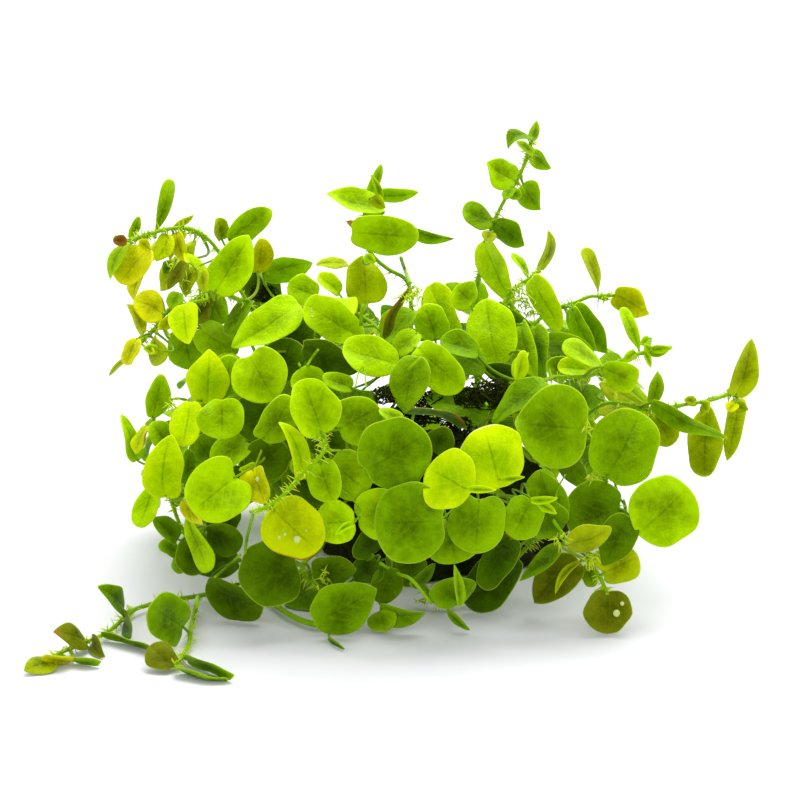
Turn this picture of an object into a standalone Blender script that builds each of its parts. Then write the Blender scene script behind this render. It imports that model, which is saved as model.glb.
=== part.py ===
"""Red root floater: a picked clump of a small floating plant, heaped on a flat surface.

Metres, +Z up. The origin is on the surface, under the middle of the heap, and -Y is the front.
A leaf or a stem stands where it shows in a picture of the clump's front, 800 pixels wide and
high, at a depth of its own. Widths, thicknesses and depths are real sizes in millimetres.
"""

import math
from typing import NamedTuple

import bmesh
import bpy
import numpy as np
from mathutils.bvhtree import BVHTree

MM = 0.001

# The picture: how large a pixel is at the heap's middle, and where the eye stands.
PIXEL = 0.235 * MM
EYE_DISTANCE = 1.0
EYE_HEIGHT = math.radians(20.0)
MIDDLE_PIXEL = (400.0, 400.0)
ORIGIN_PIXEL = (410.0, 562.0)
RIGHT = np.array((1.0, 0.0, 0.0))
UP = np.array((0.0, math.sin(EYE_HEIGHT), math.cos(EYE_HEIGHT)))
INTO = np.array((0.0, math.cos(EYE_HEIGHT), -math.sin(EYE_HEIGHT)))
MIDDLE = PIXEL * (
    (MIDDLE_PIXEL[0] - ORIGIN_PIXEL[0]) * RIGHT + (ORIGIN_PIXEL[1] - MIDDLE_PIXEL[1]) * UP
)

# The heap's outer form, an egg that stands on the surface.
HEAP_MIDDLE = np.array((2.0, 2.0, 22.0)) * MM
HEAP_HALF = np.array((76.0, 50.0, 45.0)) * MM

# The root tangle: the dome that its lumps stand out from, cut flat where it rests.
TANGLE_MIDDLE = np.array((6.0, 6.0, 6.0)) * MM
TANGLE_HALF = np.array((40.0, 26.0, 34.0)) * MM
TANGLE_LUMP = 0.10
TANGLE_AROUND = 16
TANGLE_UP = 7

# Leaf and stem sizes.
BLADE_HALF_THICK = 0.32 * MM
STALK_HALF_WIDE = 0.45 * MM
LEAST_STALK = 0.5 * MM
STEM_RADIUS = 0.62 * MM
STEM_TAPER = 0.25
STEM_SIDES = 4
STEM_STEP = 9.0 * MM
GAP = 0.3 * MM
LEAST_HEIGHT = 0.40 * MM
CRUMB_FACES = 10

# Where along a blade its cross sections stand. Each is a loop of points: where across the blade
# a point is, and how far on the inside of its fold (over 0) or on the outside (under 0).
LARGE_ALONG = (0.0, 0.09, 0.32, 0.64, 0.89)
LARGE_LOOP = ((-1.0, 0.0), (0.0, 1.0), (1.0, 0.0), (0.0, -1.0))
SMALL_ALONG = (0.0, 0.28, 0.74)
SMALL_LOOP = ((-1.0, 0.0), (0.0, -1.5), (1.0, 0.0))

# How the leaves are set clear of each other.
CELL_PIXELS = 4
CELLS = 200
CLEAR = 1.2 * MM
SETTLE_ROUNDS = 150
MOST_SETTLE = 14.0 * MM
ROOT_CHOICES = 40
BEND_COST = 2.5 * MM

# The side that the picture doesn't show: leaves to a shoot, and their mean size.
BACK_LEAVES = 6
BACK_WIDE = 14.5

TONES = {
    "lime": (0.42, 0.66, 0.01),
    "mid": (0.20, 0.42, 0.01),
    "deep": (0.06, 0.17, 0.005),
    "olive": (0.22, 0.26, 0.01),
    "yellow": (0.55, 0.60, 0.01),
    "rust": (0.20, 0.09, 0.02),
}
STEM_COLOUR = (0.16, 0.30, 0.02)
ROOT_COLOUR = (0.03, 0.035, 0.01)


class Leaf(NamedTuple):
    """One leaf: the pixels of its base and tip, its real width, and how it lies.

    sink is how far its middle lies behind the heap's outer form or behind its stem, lean how much
    further back its tip is than its base, both in millimetres, and rise the tip's height over
    the surface, which stands for lean where it is given. turn and fold are degrees, about the
    midrib, and bow is the midrib's rise towards the eye as a share of its length.
    """

    base: tuple
    tip: tuple
    wide: float
    sink: float = 2.0
    lean: float = -2.0
    turn: float = 0.0
    fold: float = 10.0
    bow: float = 0.06
    tone: str = "mid"
    own: bool = False
    rise: float = -1.0


class Shoot(NamedTuple):
    """A stem's routes, as pixels with a depth in millimetres, and the leaves that it carries.

    On a shoot that lies, the third number is the height over the surface. On one inside the
    heap, the leaves' depths count from the heap's outer form.
    """

    routes: tuple
    leaves: tuple
    lies: bool = False
    inside: bool = False


SHOOTS = {
    "trail": Shoot(
        lies=True,
        routes=(
            (
                (236, 585, 2.6), (216, 591, 2.2), (198, 596, 1.8), (164, 601, 1.6), (145, 606, 1.6),
                (131, 612, 1.6), (108, 632, 1.6), (84, 643, 1.6), (60, 653, 1.6), (50, 660, 1.6),
            ),
        ),
        leaves=(
            Leaf((54, 662), (24, 671), 7.0, turn=45, tone="olive", rise=1.2),
            Leaf((73, 660), (43, 658), 6.0, turn=-50, tone="yellow", rise=3.0),
            Leaf((74, 661), (101, 662), 5.0, turn=50, rise=1.5),
            Leaf((86, 642), (54, 632), 6.0, turn=45, tone="olive", rise=7.0),
            Leaf((125, 611), (99, 586), 7.0, turn=50, tone="deep", rise=13.0),
            Leaf((128, 615), (132, 638), 5.0, turn=50, rise=3.0),
            Leaf((101, 634), (155, 656), 8.0, turn=60, bow=-0.12, rise=1.5),
        ),
    ),
    "trail_fork": Shoot(
        lies=True,
        routes=(((196, 607, 1.6), (191, 626, 1.6), (189, 643, 1.6), (182, 657, 1.6), (175, 665, 1.6)),),
        leaves=(
            Leaf((173, 667), (149, 647), 7.0, turn=30, tone="rust", rise=4.5),
            Leaf((187, 660), (236, 674), 9.0, turn=45, fold=25, rise=2.0),
            Leaf((185, 628), (146, 606), 12.0, sink=-1, turn=20, own=True, rise=12.0),
        ),
    ),
    "upper_left": Shoot(
        routes=(
            (
                (345, 432, 0), (285, 360, -2), (246, 300, -6), (226, 264, -6), (210, 241, -6),
                (190, 229, -6), (168, 229, -7), (150, 234, -8), (130, 240, -9), (114, 239, -9),
            ),
        ),
        leaves=(
            Leaf((155, 233), (171, 179), 8.0, sink=0, turn=45, bow=0.1),
            Leaf((130, 238), (138, 216), 4.0, sink=0, turn=50),
            Leaf((131, 241), (111, 281), 5.0, sink=-1, turn=50, tone="olive"),
            Leaf((149, 250), (120, 284), 9.0, sink=-2, turn=35, tone="olive"),
            Leaf((144, 262), (134, 301), 6.0, sink=1, turn=50, tone="olive"),
            Leaf((165, 236), (154, 262), 5.0, sink=2, turn=50, tone="yellow"),
            Leaf((174, 228), (194, 214), 3.5, sink=0, turn=50),
            Leaf((186, 232), (170, 262), 5.0, sink=2, turn=50, tone="deep"),
            Leaf((194, 240), (182, 268), 5.0, sink=0, turn=40, tone="yellow"),
            Leaf((184, 258), (161, 292), 7.0, sink=3, turn=40, tone="deep"),
        ),
    ),
    "left": Shoot(
        routes=(
            (
                (330, 445, -8), (292, 385, -14), (276, 338, -17), (262, 316, -20), (235, 298, -20),
                (212, 291, -19), (190, 303, -17), (168, 311, -15), (158, 325, -14), (140, 343, -13),
            ),
        ),
        leaves=(
            Leaf((163, 314), (134, 300), 8.0, sink=0, turn=30, tone="olive"),
            Leaf((143, 334), (127, 304), 5.0, sink=2, turn=55, tone="olive"),
            Leaf((137, 338), (127, 365), 6.0, sink=-1, turn=40, tone="olive"),
            Leaf((129, 357), (109, 377), 4.0, sink=1, turn=55),
            Leaf((155, 333), (160, 365), 6.0, sink=-2, turn=50, tone="olive"),
            Leaf((163, 330), (171, 311), 5.0, sink=-2, turn=50, tone="yellow"),
            Leaf((184, 304), (189, 344), 8.0, sink=-3, turn=30, tone="lime", own=True),
            Leaf((207, 292), (183, 253), 7.0, sink=3, lean=2, turn=50),
            Leaf((210, 300), (196, 325), 6.0, sink=0, turn=35, tone="rust"),
            Leaf((212, 296), (225, 323), 8.0, sink=1, turn=35, tone="deep"),
            Leaf((250, 300), (228, 336), 7.0, sink=0, turn=50, tone="deep"),
            Leaf((215, 292), (249, 235), 11.5, sink=-3, lean=3, turn=15, tone="lime", own=True),
            Leaf((228, 240), (272, 210), 9.0, sink=5, lean=2, turn=40, own=True),
            Leaf((222, 240), (218, 218), 5.0, sink=8, turn=40, tone="olive"),
            Leaf((257, 272), (262, 238), 6.0, sink=6, turn=40, tone="yellow"),
            Leaf((200, 328), (238, 353), 8.5, sink=0, turn=20, own=True),
        ),
    ),
    "foot_left": Shoot(
        inside=True,
        routes=(
            (
                (310, 475, -12), (255, 462, -20), (215, 445, -24), (188, 425, -24), (170, 440, -22),
                (168, 480, -24), (180, 525, -24), (205, 560, -22),
            ),
        ),
        leaves=(
            Leaf((152, 418), (160, 374), 6.0, sink=-1, turn=40, tone="lime"),
            Leaf((137, 461), (121, 414), 6.0, sink=2, turn=45, bow=0.15),
            Leaf((146, 426), (136, 455), 5.0, sink=0, turn=45, tone="yellow"),
            Leaf((168, 446), (151, 423), 6.0, sink=2, turn=20),
            Leaf((165, 498), (172, 435), 10.5, sink=-1, turn=12, tone="lime", own=True),
            Leaf((156, 484), (140, 528), 6.5, sink=1, turn=25, tone="lime"),
            Leaf((186, 483), (188, 449), 5.0, sink=6, turn=40, tone="deep"),
            Leaf((186, 509), (210, 572), 6.5, sink=2, turn=35),
            Leaf((182, 500), (204, 525), 5.0, sink=2, turn=40, tone="olive"),
            Leaf((178, 540), (152, 518), 6.0, sink=4, turn=40, tone="deep"),
            Leaf((207, 532), (244, 540), 9.0, sink=6, turn=35, tone="deep"),
            Leaf((180, 553), (158, 546), 5.0, sink=2, turn=45),
            Leaf((180, 553), (182, 574), 5.0, sink=4, turn=30, tone="deep"),
            Leaf((238, 562), (190, 565), 9.0, sink=8, turn=35, tone="deep"),
            Leaf((191, 402), (184, 447), 8.0, sink=1, turn=15, tone="lime", own=True),
            Leaf((207, 404), (209, 349), 9.8, sink=0, turn=8, tone="lime", own=True),
            Leaf((220, 401), (232, 355), 8.0, sink=4, turn=10),
            Leaf((222, 400), (222, 440), 10.6, sink=1, turn=0, own=True),
            Leaf((246, 441), (212, 464), 8.5, sink=4, turn=15),
            Leaf((236, 476), (192, 512), 15.5, sink=-1, lean=-3, own=True),
            Leaf((252, 469), (267, 504), 8.0, sink=3, turn=30, tone="olive"),
            Leaf((240, 471), (256, 463), 4.0, sink=3, turn=50),
        ),
    ),
    "front": Shoot(
        inside=True,
        routes=(
            (
                (350, 445, -15), (334, 418, -38), (323, 433, -52), (325, 447, -57), (319, 458, -58),
                (300, 476, -58), (290, 488, -58), (278, 500, -58), (262, 509, -57), (250, 512, -56),
            ),
        ),
        leaves=(
            Leaf((300, 481), (278, 422), 6.0, sink=-5, turn=35, bow=0.12, tone="yellow"),
            Leaf((262, 440), (291, 397), 10.0, sink=5, turn=25),
            Leaf((322, 434), (303, 379), 12.0, sink=0, turn=10, tone="lime", own=True),
            Leaf((338, 430), (379, 405), 13.0, sink=4, turn=10, own=True),
            Leaf((325, 386), (290, 383), 8.0, sink=7, turn=20, tone="deep"),
            Leaf((402, 421), (378, 412), 5.0, sink=3, turn=40, tone="deep"),
            Leaf((320, 463), (333, 502), 8.2, sink=0, turn=15, own=True),
            Leaf((332, 460), (368, 492), 11.5, sink=4, turn=10),
            Leaf((366, 470), (427, 433), 15.5, sink=0, turn=10, tone="deep", own=True),
            Leaf((272, 508), (319, 551), 13.5, sink=-5, turn=5, tone="yellow", own=True),
            Leaf((354, 521), (315, 524), 10.0, sink=0, tone="lime"),
            Leaf((358, 518), (402, 508), 12.0, sink=3, turn=10, tone="lime", own=True),
            Leaf((443, 521), (374, 523), 17.5, sink=-2, lean=1, own=True),
            Leaf((240, 460), (285, 470), 9.0, sink=13, turn=20, tone="deep"),
        ),
    ),
    "crown": Shoot(
        inside=True,
        routes=(
            (
                (352, 430, -8), (338, 392, -14), (318, 360, -18), (312, 332, -18), (330, 312, -14),
                (360, 316, -16), (388, 338, -24), (408, 366, -32),
            ),
        ),
        leaves=(
            Leaf((299, 304), (231, 347), 10.5, sink=-2, turn=30, tone="lime", own=True),
            Leaf((250, 356), (275, 400), 12.2, sink=1, turn=5, own=True),
            Leaf((352, 388), (322, 377), 5.0, sink=6, turn=30, tone="olive"),
            Leaf((303, 346), (361, 368), 9.0, sink=5, turn=42, tone="deep"),
            Leaf((260, 273), (313, 264), 8.0, sink=5, turn=45, tone="lime"),
            Leaf((318, 296), (287, 286), 8.5, sink=5, turn=20, tone="lime"),
            Leaf((340, 294), (318, 275), 5.0, sink=4, turn=40, tone="yellow"),
            Leaf((348, 264), (316, 265), 4.5, sink=6, turn=50, tone="yellow"),
            Leaf((366, 304), (363, 255), 12.0, sink=6, lean=2, turn=10, tone="yellow", own=True),
            Leaf((364, 338), (306, 302), 10.5, sink=-1, turn=12, tone="lime", own=True),
            Leaf((398, 364), (343, 346), 9.5, sink=-2, turn=25, tone="lime", own=True),
            Leaf((416, 356), (405, 414), 8.0, sink=3, turn=20),
            Leaf((418, 346), (463, 389), 10.5, sink=0, turn=22, tone="lime", own=True),
            Leaf((384, 338), (408, 287), 6.5, sink=1, turn=50, tone="rust"),
            Leaf((412, 310), (385, 345), 8.0, sink=6, turn=40),
            Leaf((417, 332), (395, 357), 6.0, sink=6, turn=30, tone="yellow"),
        ),
    ),
    "top_middle": Shoot(
        routes=(
            (
                (405, 425, -4), (410, 370, -8), (411, 320, -4), (408, 283, -2), (388, 269, -2),
                (375, 258, -2), (366, 244, -2), (364, 222, -2), (367, 200, -2), (372, 182, -2),
            ),
        ),
        leaves=(
            Leaf((368, 196), (381, 164), 4.0, sink=0, turn=45),
            Leaf((384, 209), (326, 193), 8.0, sink=-3, turn=45, tone="lime"),
            Leaf((372, 195), (419, 192), 5.0, sink=1, turn=45, tone="olive"),
            Leaf((376, 201), (349, 201), 5.0, sink=4, turn=45, tone="olive"),
            Leaf((352, 232), (419, 236), 10.0, sink=-3, turn=15, tone="lime", own=True),
            Leaf((408, 229), (454, 239), 5.5, sink=3, turn=50),
            Leaf((362, 230), (346, 221), 4.0, sink=0, turn=40, tone="rust"),
        ),
    ),
    "top_right": Shoot(
        routes=(
            (
                (478, 425, -6), (476, 350, 0), (477, 300, 3), (480, 270, 4), (489, 237, 4),
                (494, 222, 4), (503, 203, 4), (518, 178, 4), (526, 160, 4), (531, 142, 4),
            ),
        ),
        leaves=(
            Leaf((531, 142), (536, 120), 3.0, sink=0, turn=40),
            Leaf((531, 138), (508, 150), 5.0, sink=0, turn=45, bow=0.3, tone="deep"),
            Leaf((534, 154), (515, 141), 4.0, sink=-1, turn=45, tone="lime"),
            Leaf((532, 152), (551, 169), 4.5, sink=0, turn=40, tone="olive"),
            Leaf((516, 181), (487, 162), 8.0, sink=-1, turn=30),
            Leaf((523, 184), (540, 210), 7.0, sink=1, turn=35),
            Leaf((493, 223), (463, 208), 7.0, sink=-1, turn=40, tone="deep"),
            Leaf((494, 223), (524, 246), 7.5, sink=-1, turn=38, tone="deep"),
            Leaf((483, 240), (515, 304), 8.5, sink=-3, lean=-4, turn=42, tone="lime"),
            Leaf((476, 306), (468, 283), 8.0, sink=3, turn=10, tone="yellow"),
            Leaf((431, 284), (457, 340), 9.2, sink=-14, lean=-5, turn=25, tone="lime", own=True),
            Leaf((436, 340), (424, 304), 7.5, sink=-18, turn=10),
        ),
    ),
    "right_upper": Shoot(
        routes=(
            (
                (515, 430, -8), (520, 375, -10), (532, 330, -8), (549, 312, -6), (572, 304, -6),
                (592, 296, -6), (607, 299, -6),
            ),
            ((532, 330, -8), (508, 297, -4), (530, 279, -6), (540, 270, -6)),
            ((600, 297, -6), (613, 295, -6)),
        ),
        leaves=(
            Leaf((528, 276), (511, 254), 4.5, sink=0, turn=50, tone="olive"),
            Leaf((540, 270), (548, 230), 5.5, sink=0, turn=50, tone="olive"),
            Leaf((531, 278), (562, 331), 8.5, sink=-3, lean=-4, turn=42, tone="lime"),
            Leaf((573, 306), (607, 354), 8.0, sink=-1, turn=35),
            Leaf((572, 308), (596, 352), 6.0, sink=-4, turn=50, tone="yellow"),
            Leaf((599, 296), (583, 248), 5.0, sink=0, turn=50, tone="olive"),
            Leaf((613, 295), (649, 315), 7.5, sink=0, turn=35, tone="olive"),
            Leaf((485, 299), (499, 366), 11.8, sink=-22, lean=-6, turn=12, tone="lime", own=True),
            Leaf((497, 305), (546, 346), 8.0, sink=-12, turn=55, tone="deep"),
            Leaf((521, 322), (537, 379), 7.0, sink=-22, lean=-6, turn=40),
            Leaf((536, 326), (546, 377), 7.0, sink=-16, lean=-6, turn=45),
            Leaf((526, 352), (519, 381), 4.5, sink=-30, turn=45, tone="yellow"),
        ),
    ),
    "right_middle": Shoot(
        routes=(
            (
                (540, 430, -12), (538, 392, -30), (548, 379, -38), (570, 377, -38), (590, 376, -36),
                (603, 368, -34), (622, 360, -32), (638, 354, -32), (649, 351, -32),
            ),
        ),
        leaves=(
            Leaf((602, 367), (638, 381), 8.0, sink=-2, turn=20),
            Leaf((602, 366), (562, 345), 7.0, sink=-1, turn=50),
            Leaf((592, 370), (557, 368), 6.5, sink=3, turn=25, tone="lime"),
            Leaf((640, 352), (620, 308), 5.5, sink=0, turn=35),
            Leaf((646, 353), (673, 346), 3.5, sink=0, turn=45),
            Leaf((566, 378), (548, 361), 6.0, sink=5, turn=20),
            Leaf((478, 353), (440, 341), 7.0, sink=0, turn=35, tone="deep"),
            Leaf((485, 368), (452, 352), 8.0, sink=2, turn=30, tone="deep"),
            Leaf((484, 368), (516, 372), 6.0, sink=4, turn=40, tone="deep"),
            Leaf((488, 417), (424, 398), 11.0, sink=-8, turn=30, tone="deep", own=True),
            Leaf((545, 381), (492, 425), 8.0, sink=-9, turn=40),
            Leaf((466, 427), (404, 413), 7.0, sink=-18, turn=70, bow=0.1, tone="yellow"),
        ),
    ),
    "right_far": Shoot(
        routes=(
            (
                (565, 440, -12), (596, 408, -26), (620, 403, -28), (650, 410, -28), (688, 404, -26),
                (712, 400, -24), (730, 394, -22), (738, 397, -22),
            ),
        ),
        leaves=(
            Leaf((652, 404), (657, 370), 7.0, sink=0, turn=35),
            Leaf((652, 402), (728, 438), 8.0, sink=-3, lean=-2, turn=45, tone="lime", own=True),
            Leaf((648, 406), (612, 380), 6.0, sink=-1, turn=50, tone="lime"),
            Leaf((648, 409), (598, 384), 9.0, sink=2, turn=35, tone="olive"),
            Leaf((650, 411), (597, 412), 6.0, sink=2, turn=50, tone="olive"),
            Leaf((655, 412), (673, 445), 8.0, sink=2, turn=25, tone="olive"),
            Leaf((708, 405), (705, 477), 8.5, sink=2, turn=25, tone="olive"),
            Leaf((736, 397), (752, 338), 7.5, sink=-1, turn=25, tone="yellow"),
            Leaf((740, 398), (727, 461), 7.0, sink=0, turn=35, tone="olive"),
        ),
    ),
    "right_low": Shoot(
        routes=(
            (
                (560, 450, -16), (586, 432, -32), (596, 458, -34), (604, 476, -35), (608, 492, -35),
                (618, 510, -33), (606, 545, -34), (592, 562, -38), (600, 577, -40), (608, 595, -41),
            ),
            ((618, 510, -33), (636, 520, -38), (645, 528, -40)),
        ),
        leaves=(
            Leaf((587, 429), (514, 423), 21.0, sink=-19, lean=-1, own=True),
            Leaf((607, 478), (641, 412), 16.6, sink=-3, lean=1, turn=5, own=True),
            Leaf((645, 528), (688, 487), 16.5, sink=-2, lean=1, turn=5, own=True),
            Leaf((621, 508), (567, 526), 16.5, sink=-2, turn=10, tone="deep", own=True),
            Leaf((603, 573), (638, 556), 9.5, sink=2, turn=15),
            Leaf((566, 546), (612, 529), 8.0, sink=-8, turn=40, tone="olive"),
            Leaf((608, 591), (607, 634), 11.2, sink=-1, tone="olive", rise=0.5),
            Leaf((579, 561), (534, 603), 10.5, sink=0, turn=12, fold=15, tone="olive", rise=3.0),
            Leaf((590, 563), (594, 587), 5.0, sink=3, turn=40, tone="lime"),
            Leaf((560, 545), (519, 581), 7.5, sink=2, turn=40, tone="deep"),
        ),
    ),
    "foot_middle": Shoot(
        inside=True,
        routes=(
            ((345, 500, -14), (322, 545, -24), (302, 566, -33), (316, 584, -36), (338, 593, -38)),
        ),
        leaves=(
            Leaf((297, 566), (240, 584), 15.5, sink=-1, turn=10, tone="deep", own=True),
            Leaf((206, 583), (263, 612), 9.5, sink=1, turn=35, tone="deep", own=True, rise=3.0),
            Leaf((314, 622), (377, 589), 11.5, sink=-2, turn=15, own=True, rise=11.0),
            Leaf((328, 637), (345, 649), 4.0, turn=45, tone="deep", rise=0.8),
            Leaf((312, 570), (357, 568), 8.5, sink=5, turn=20, tone="deep"),
            Leaf((378, 561), (355, 582), 8.0, sink=7, turn=20, tone="deep"),
            Leaf((372, 555), (362, 532), 8.0, sink=8, turn=20, tone="deep"),
        ),
    ),
    "foot_right": Shoot(
        inside=True,
        routes=(
            (
                (430, 520, -16), (420, 556, -24), (424, 592, -27), (450, 604, -28), (482, 585, -24),
                (515, 560, -22), (535, 535, -25), (536, 514, -30),
            ),
        ),
        leaves=(
            Leaf((464, 488), (428, 468), 14.2, sink=-4, turn=5, tone="lime", own=True),
            Leaf((500, 488), (484, 427), 15.0, sink=-1, turn=5, tone="lime", own=True),
            Leaf((479, 499), (476, 554), 12.8, sink=-1, turn=5, own=True),
            Leaf((531, 500), (512, 538), 10.2, sink=-1, own=True),
            Leaf((447, 518), (456, 563), 12.0, sink=4, turn=10),
            Leaf((512, 538), (483, 589), 9.0, sink=4, turn=15, tone="deep"),
            Leaf((518, 558), (466, 606), 11.0, sink=6, turn=20, tone="deep", own=True, rise=1.5),
            Leaf((457, 606), (449, 579), 11.0, sink=4, turn=10, fold=-22, tone="deep"),
            Leaf((460, 607), (453, 564), 4.0, sink=-1, turn=45),
            Leaf((380, 609), (425, 615), 7.5, sink=2, turn=48, rise=5.0),
            Leaf((380, 611), (386, 632), 6.5, sink=0, turn=20, rise=0.8),
            Leaf((448, 611), (470, 630), 4.0, sink=0, turn=45, rise=0.8),
            Leaf((414, 588), (434, 562), 6.0, sink=3, turn=40, tone="deep"),
            Leaf((425, 572), (385, 560), 9.0, sink=14, turn=35, tone="rust"),
            Leaf((545, 538), (548, 500), 8.5, sink=6, turn=25, tone="deep"),
            Leaf((541, 497), (541, 470), 8.0, sink=6, turn=20),
            Leaf((433, 451), (446, 427), 7.0, sink=5, turn=20, tone="deep"),
        ),
    ),
}


def spot(pixel, depth):
    """The point that shows at this pixel, this many metres behind the heap's middle."""
    spread = PIXEL * (1.0 + depth / EYE_DISTANCE)
    across = pixel[0] - MIDDLE_PIXEL[0]
    above = MIDDLE_PIXEL[1] - pixel[1]
    return MIDDLE + depth * INTO + spread * (across * RIGHT + above * UP)


def seen(points):
    """The pixels and the depths of points: spot, the other way round."""
    away = points - MIDDLE
    depth = away @ INTO
    spread = PIXEL * (1.0 + depth / EYE_DISTANCE)
    return MIDDLE_PIXEL[0] + away @ RIGHT / spread, MIDDLE_PIXEL[1] - away @ UP / spread, depth


def surface_depth(pixel, height):
    """How deep the point at this pixel lies whose height over the surface is given."""
    start = spot(pixel, 0.0)
    step = spot(pixel, 1.0) - start
    return (height - start[2]) / step[2]


def clear_spot(pixel, depth):
    """The point at this pixel and depth, or nearer the eye where that would be too low."""
    return spot(pixel, min(depth, surface_depth(pixel, 2 * LEAST_HEIGHT)))


def heap_depth(pixel):
    """How deep the heap's outer form lies at this pixel, or its edge past its outline."""
    start = (spot(pixel, 0.0) - HEAP_MIDDLE) / HEAP_HALF
    step = (spot(pixel, 1.0) - spot(pixel, 0.0)) / HEAP_HALF
    square = step @ step
    cross = start @ step
    inside = max(0.0, cross * cross - square * (start @ start - 1.0))
    return (-cross - math.sqrt(inside)) / square


def route_points(shoot, route):
    """A stem's route as points in space."""
    points = []
    for across, down, third in route:
        pixel = (across, down)
        depth = surface_depth(pixel, third * MM) if shoot.lies else third * MM
        points.append(spot(pixel, depth))
    return np.array(points)


def smooth_path(points, step):
    """The same route as a smooth curve through its points, with a point about every step."""
    before = np.vstack((2 * points[0] - points[1], points[:-1]))
    after = np.vstack((points[1:], 2 * points[-1] - points[-2]))
    slope = (after - before) / 2
    path = [points[:1]]
    for start, end, leave, arrive in zip(points[:-1], points[1:], slope[:-1], slope[1:]):
        count = max(1, round(float(np.linalg.norm(end - start)) / step))
        t = (np.arange(1, count + 1) / count)[:, None]
        path.append(
            (2 * t**3 - 3 * t**2 + 1) * start + (t**3 - 2 * t**2 + t) * leave
            + (3 * t**2 - 2 * t**3) * end + (t**3 - t**2) * arrive
        )
    return np.vstack(path)


def line_points(path, step):
    """Points about every step along the straight pieces between a path's points."""
    pieces = np.linalg.norm(np.diff(path, axis=0), axis=1)
    lengths = np.concatenate(([0.0], np.cumsum(pieces)))
    places = np.linspace(0.0, lengths[-1], max(2, round(lengths[-1] / step) + 1))
    return np.stack([np.interp(places, lengths, path[:, axis]) for axis in range(3)], axis=1)


def unit(vector):
    return vector / np.linalg.norm(vector)


def turned(vectors, start, end):
    """Vectors, turned as one direction is turned to bring it to another."""
    axis = np.cross(start, end)
    once = np.cross(axis, vectors)
    return vectors + once + np.cross(axis, once) / max(1e-3, 1 + start @ end)


class Blade:
    """A leaf's surface: a function of how far along it (0 to 1) and across it (-1 to 1)."""

    def __init__(self, leaf, base, tip, face, shoot):
        self.leaf = leaf
        self.base = base
        self.tip = tip
        self.face = face
        self.shoot = shoot
        self.pinned = leaf.rise >= 0.0

    def shift(self, depth):
        """Moves the blade back along the eye's lines through its base and tip."""
        for end in ("base", "tip"):
            across, down, now = seen(getattr(self, end))
            setattr(self, end, clear_spot((across, down), now + depth))

    def frame(self):
        length = np.linalg.norm(self.tip - self.base)
        along = (self.tip - self.base) / length
        flat = unit(self.face - (self.face @ along) * along)
        side = np.cross(along, flat)
        turn = math.radians(self.leaf.turn)
        normal = flat * math.cos(turn) + side * math.sin(turn)
        return length, along, normal, np.cross(along, normal)

    def points(self, t, s, thick=0.0):
        """Points of the blade. Its outline is an oval, fuller near the base, and it bows and folds."""
        length, along, normal, side = self.frame()
        t, s = np.broadcast_arrays(np.asarray(t, float), np.asarray(s, float))
        half = self.leaf.wide * MM / 2 * np.sqrt(4 * t * (1 - t)) * (1.08 - 0.16 * t)
        half = np.maximum(half, STALK_HALF_WIDE * (1 - t))
        fold = math.radians(self.leaf.fold)
        out = s * half * math.cos(fold)
        lift = np.abs(s) * half * math.sin(fold) + self.leaf.bow * length * 4 * t * (1 - t)
        lift = lift + thick * BLADE_HALF_THICK * (1 - s * s)
        run = t * length - 0.10 * length * s * s * np.sin(math.pi * np.minimum(1.0, 2 * t)) * (1 - t)
        spots = self.base + run[..., None] * along + out[..., None] * side + lift[..., None] * normal
        spots[..., 2] = np.maximum(spots[..., 2], LEAST_HEIGHT * (1 + 0.6 * thick))
        return spots


def place_blades():
    """Every leaf of the front, where the picture shows it and at its own depth."""
    blades = []
    for name, shoot in SHOOTS.items():
        stem = np.vstack([smooth_path(route_points(shoot, route), 2 * MM) for route in shoot.routes])
        stem_across, stem_down, stem_depth = seen(stem)
        for leaf in shoot.leaves:
            middle = np.add(leaf.base, leaf.tip) / 2
            near = np.argmin(np.hypot(stem_across - leaf.base[0], stem_down - leaf.base[1]))
            depth = (heap_depth(middle) if shoot.inside else stem_depth[near]) + leaf.sink * MM
            base_depth = depth - leaf.lean * MM / 2
            tip_depth = depth + leaf.lean * MM / 2
            if shoot.lies:
                base_depth = stem_depth[near] + (leaf.sink - 2.0) * MM
            if leaf.rise >= 0.0:
                tip_depth = surface_depth(leaf.tip, leaf.rise * MM)
                base_depth = base_depth if shoot.lies else max(base_depth, tip_depth - 4 * MM)
            base, tip = clear_spot(leaf.base, base_depth), clear_spot(leaf.tip, tip_depth)
            blades.append(Blade(leaf, base, tip, -INTO, name))
    return blades


def depth_range(points):
    """The nearest and furthest depth in each cell of the picture that these points show in."""
    across, down, depth = (values.ravel() for values in seen(points))
    column = np.clip((across / CELL_PIXELS).astype(int), 1, CELLS - 2)
    row = np.clip((down / CELL_PIXELS).astype(int), 1, CELLS - 2)
    near = np.full((CELLS, CELLS), np.inf)
    far = np.full((CELLS, CELLS), -np.inf)
    for move_row in (-1, 0, 1):
        for move_column in (-1, 0, 1):
            np.minimum.at(near, (row + move_row, column + move_column), depth)
            np.maximum.at(far, (row + move_row, column + move_column), depth)
    return near, far


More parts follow.
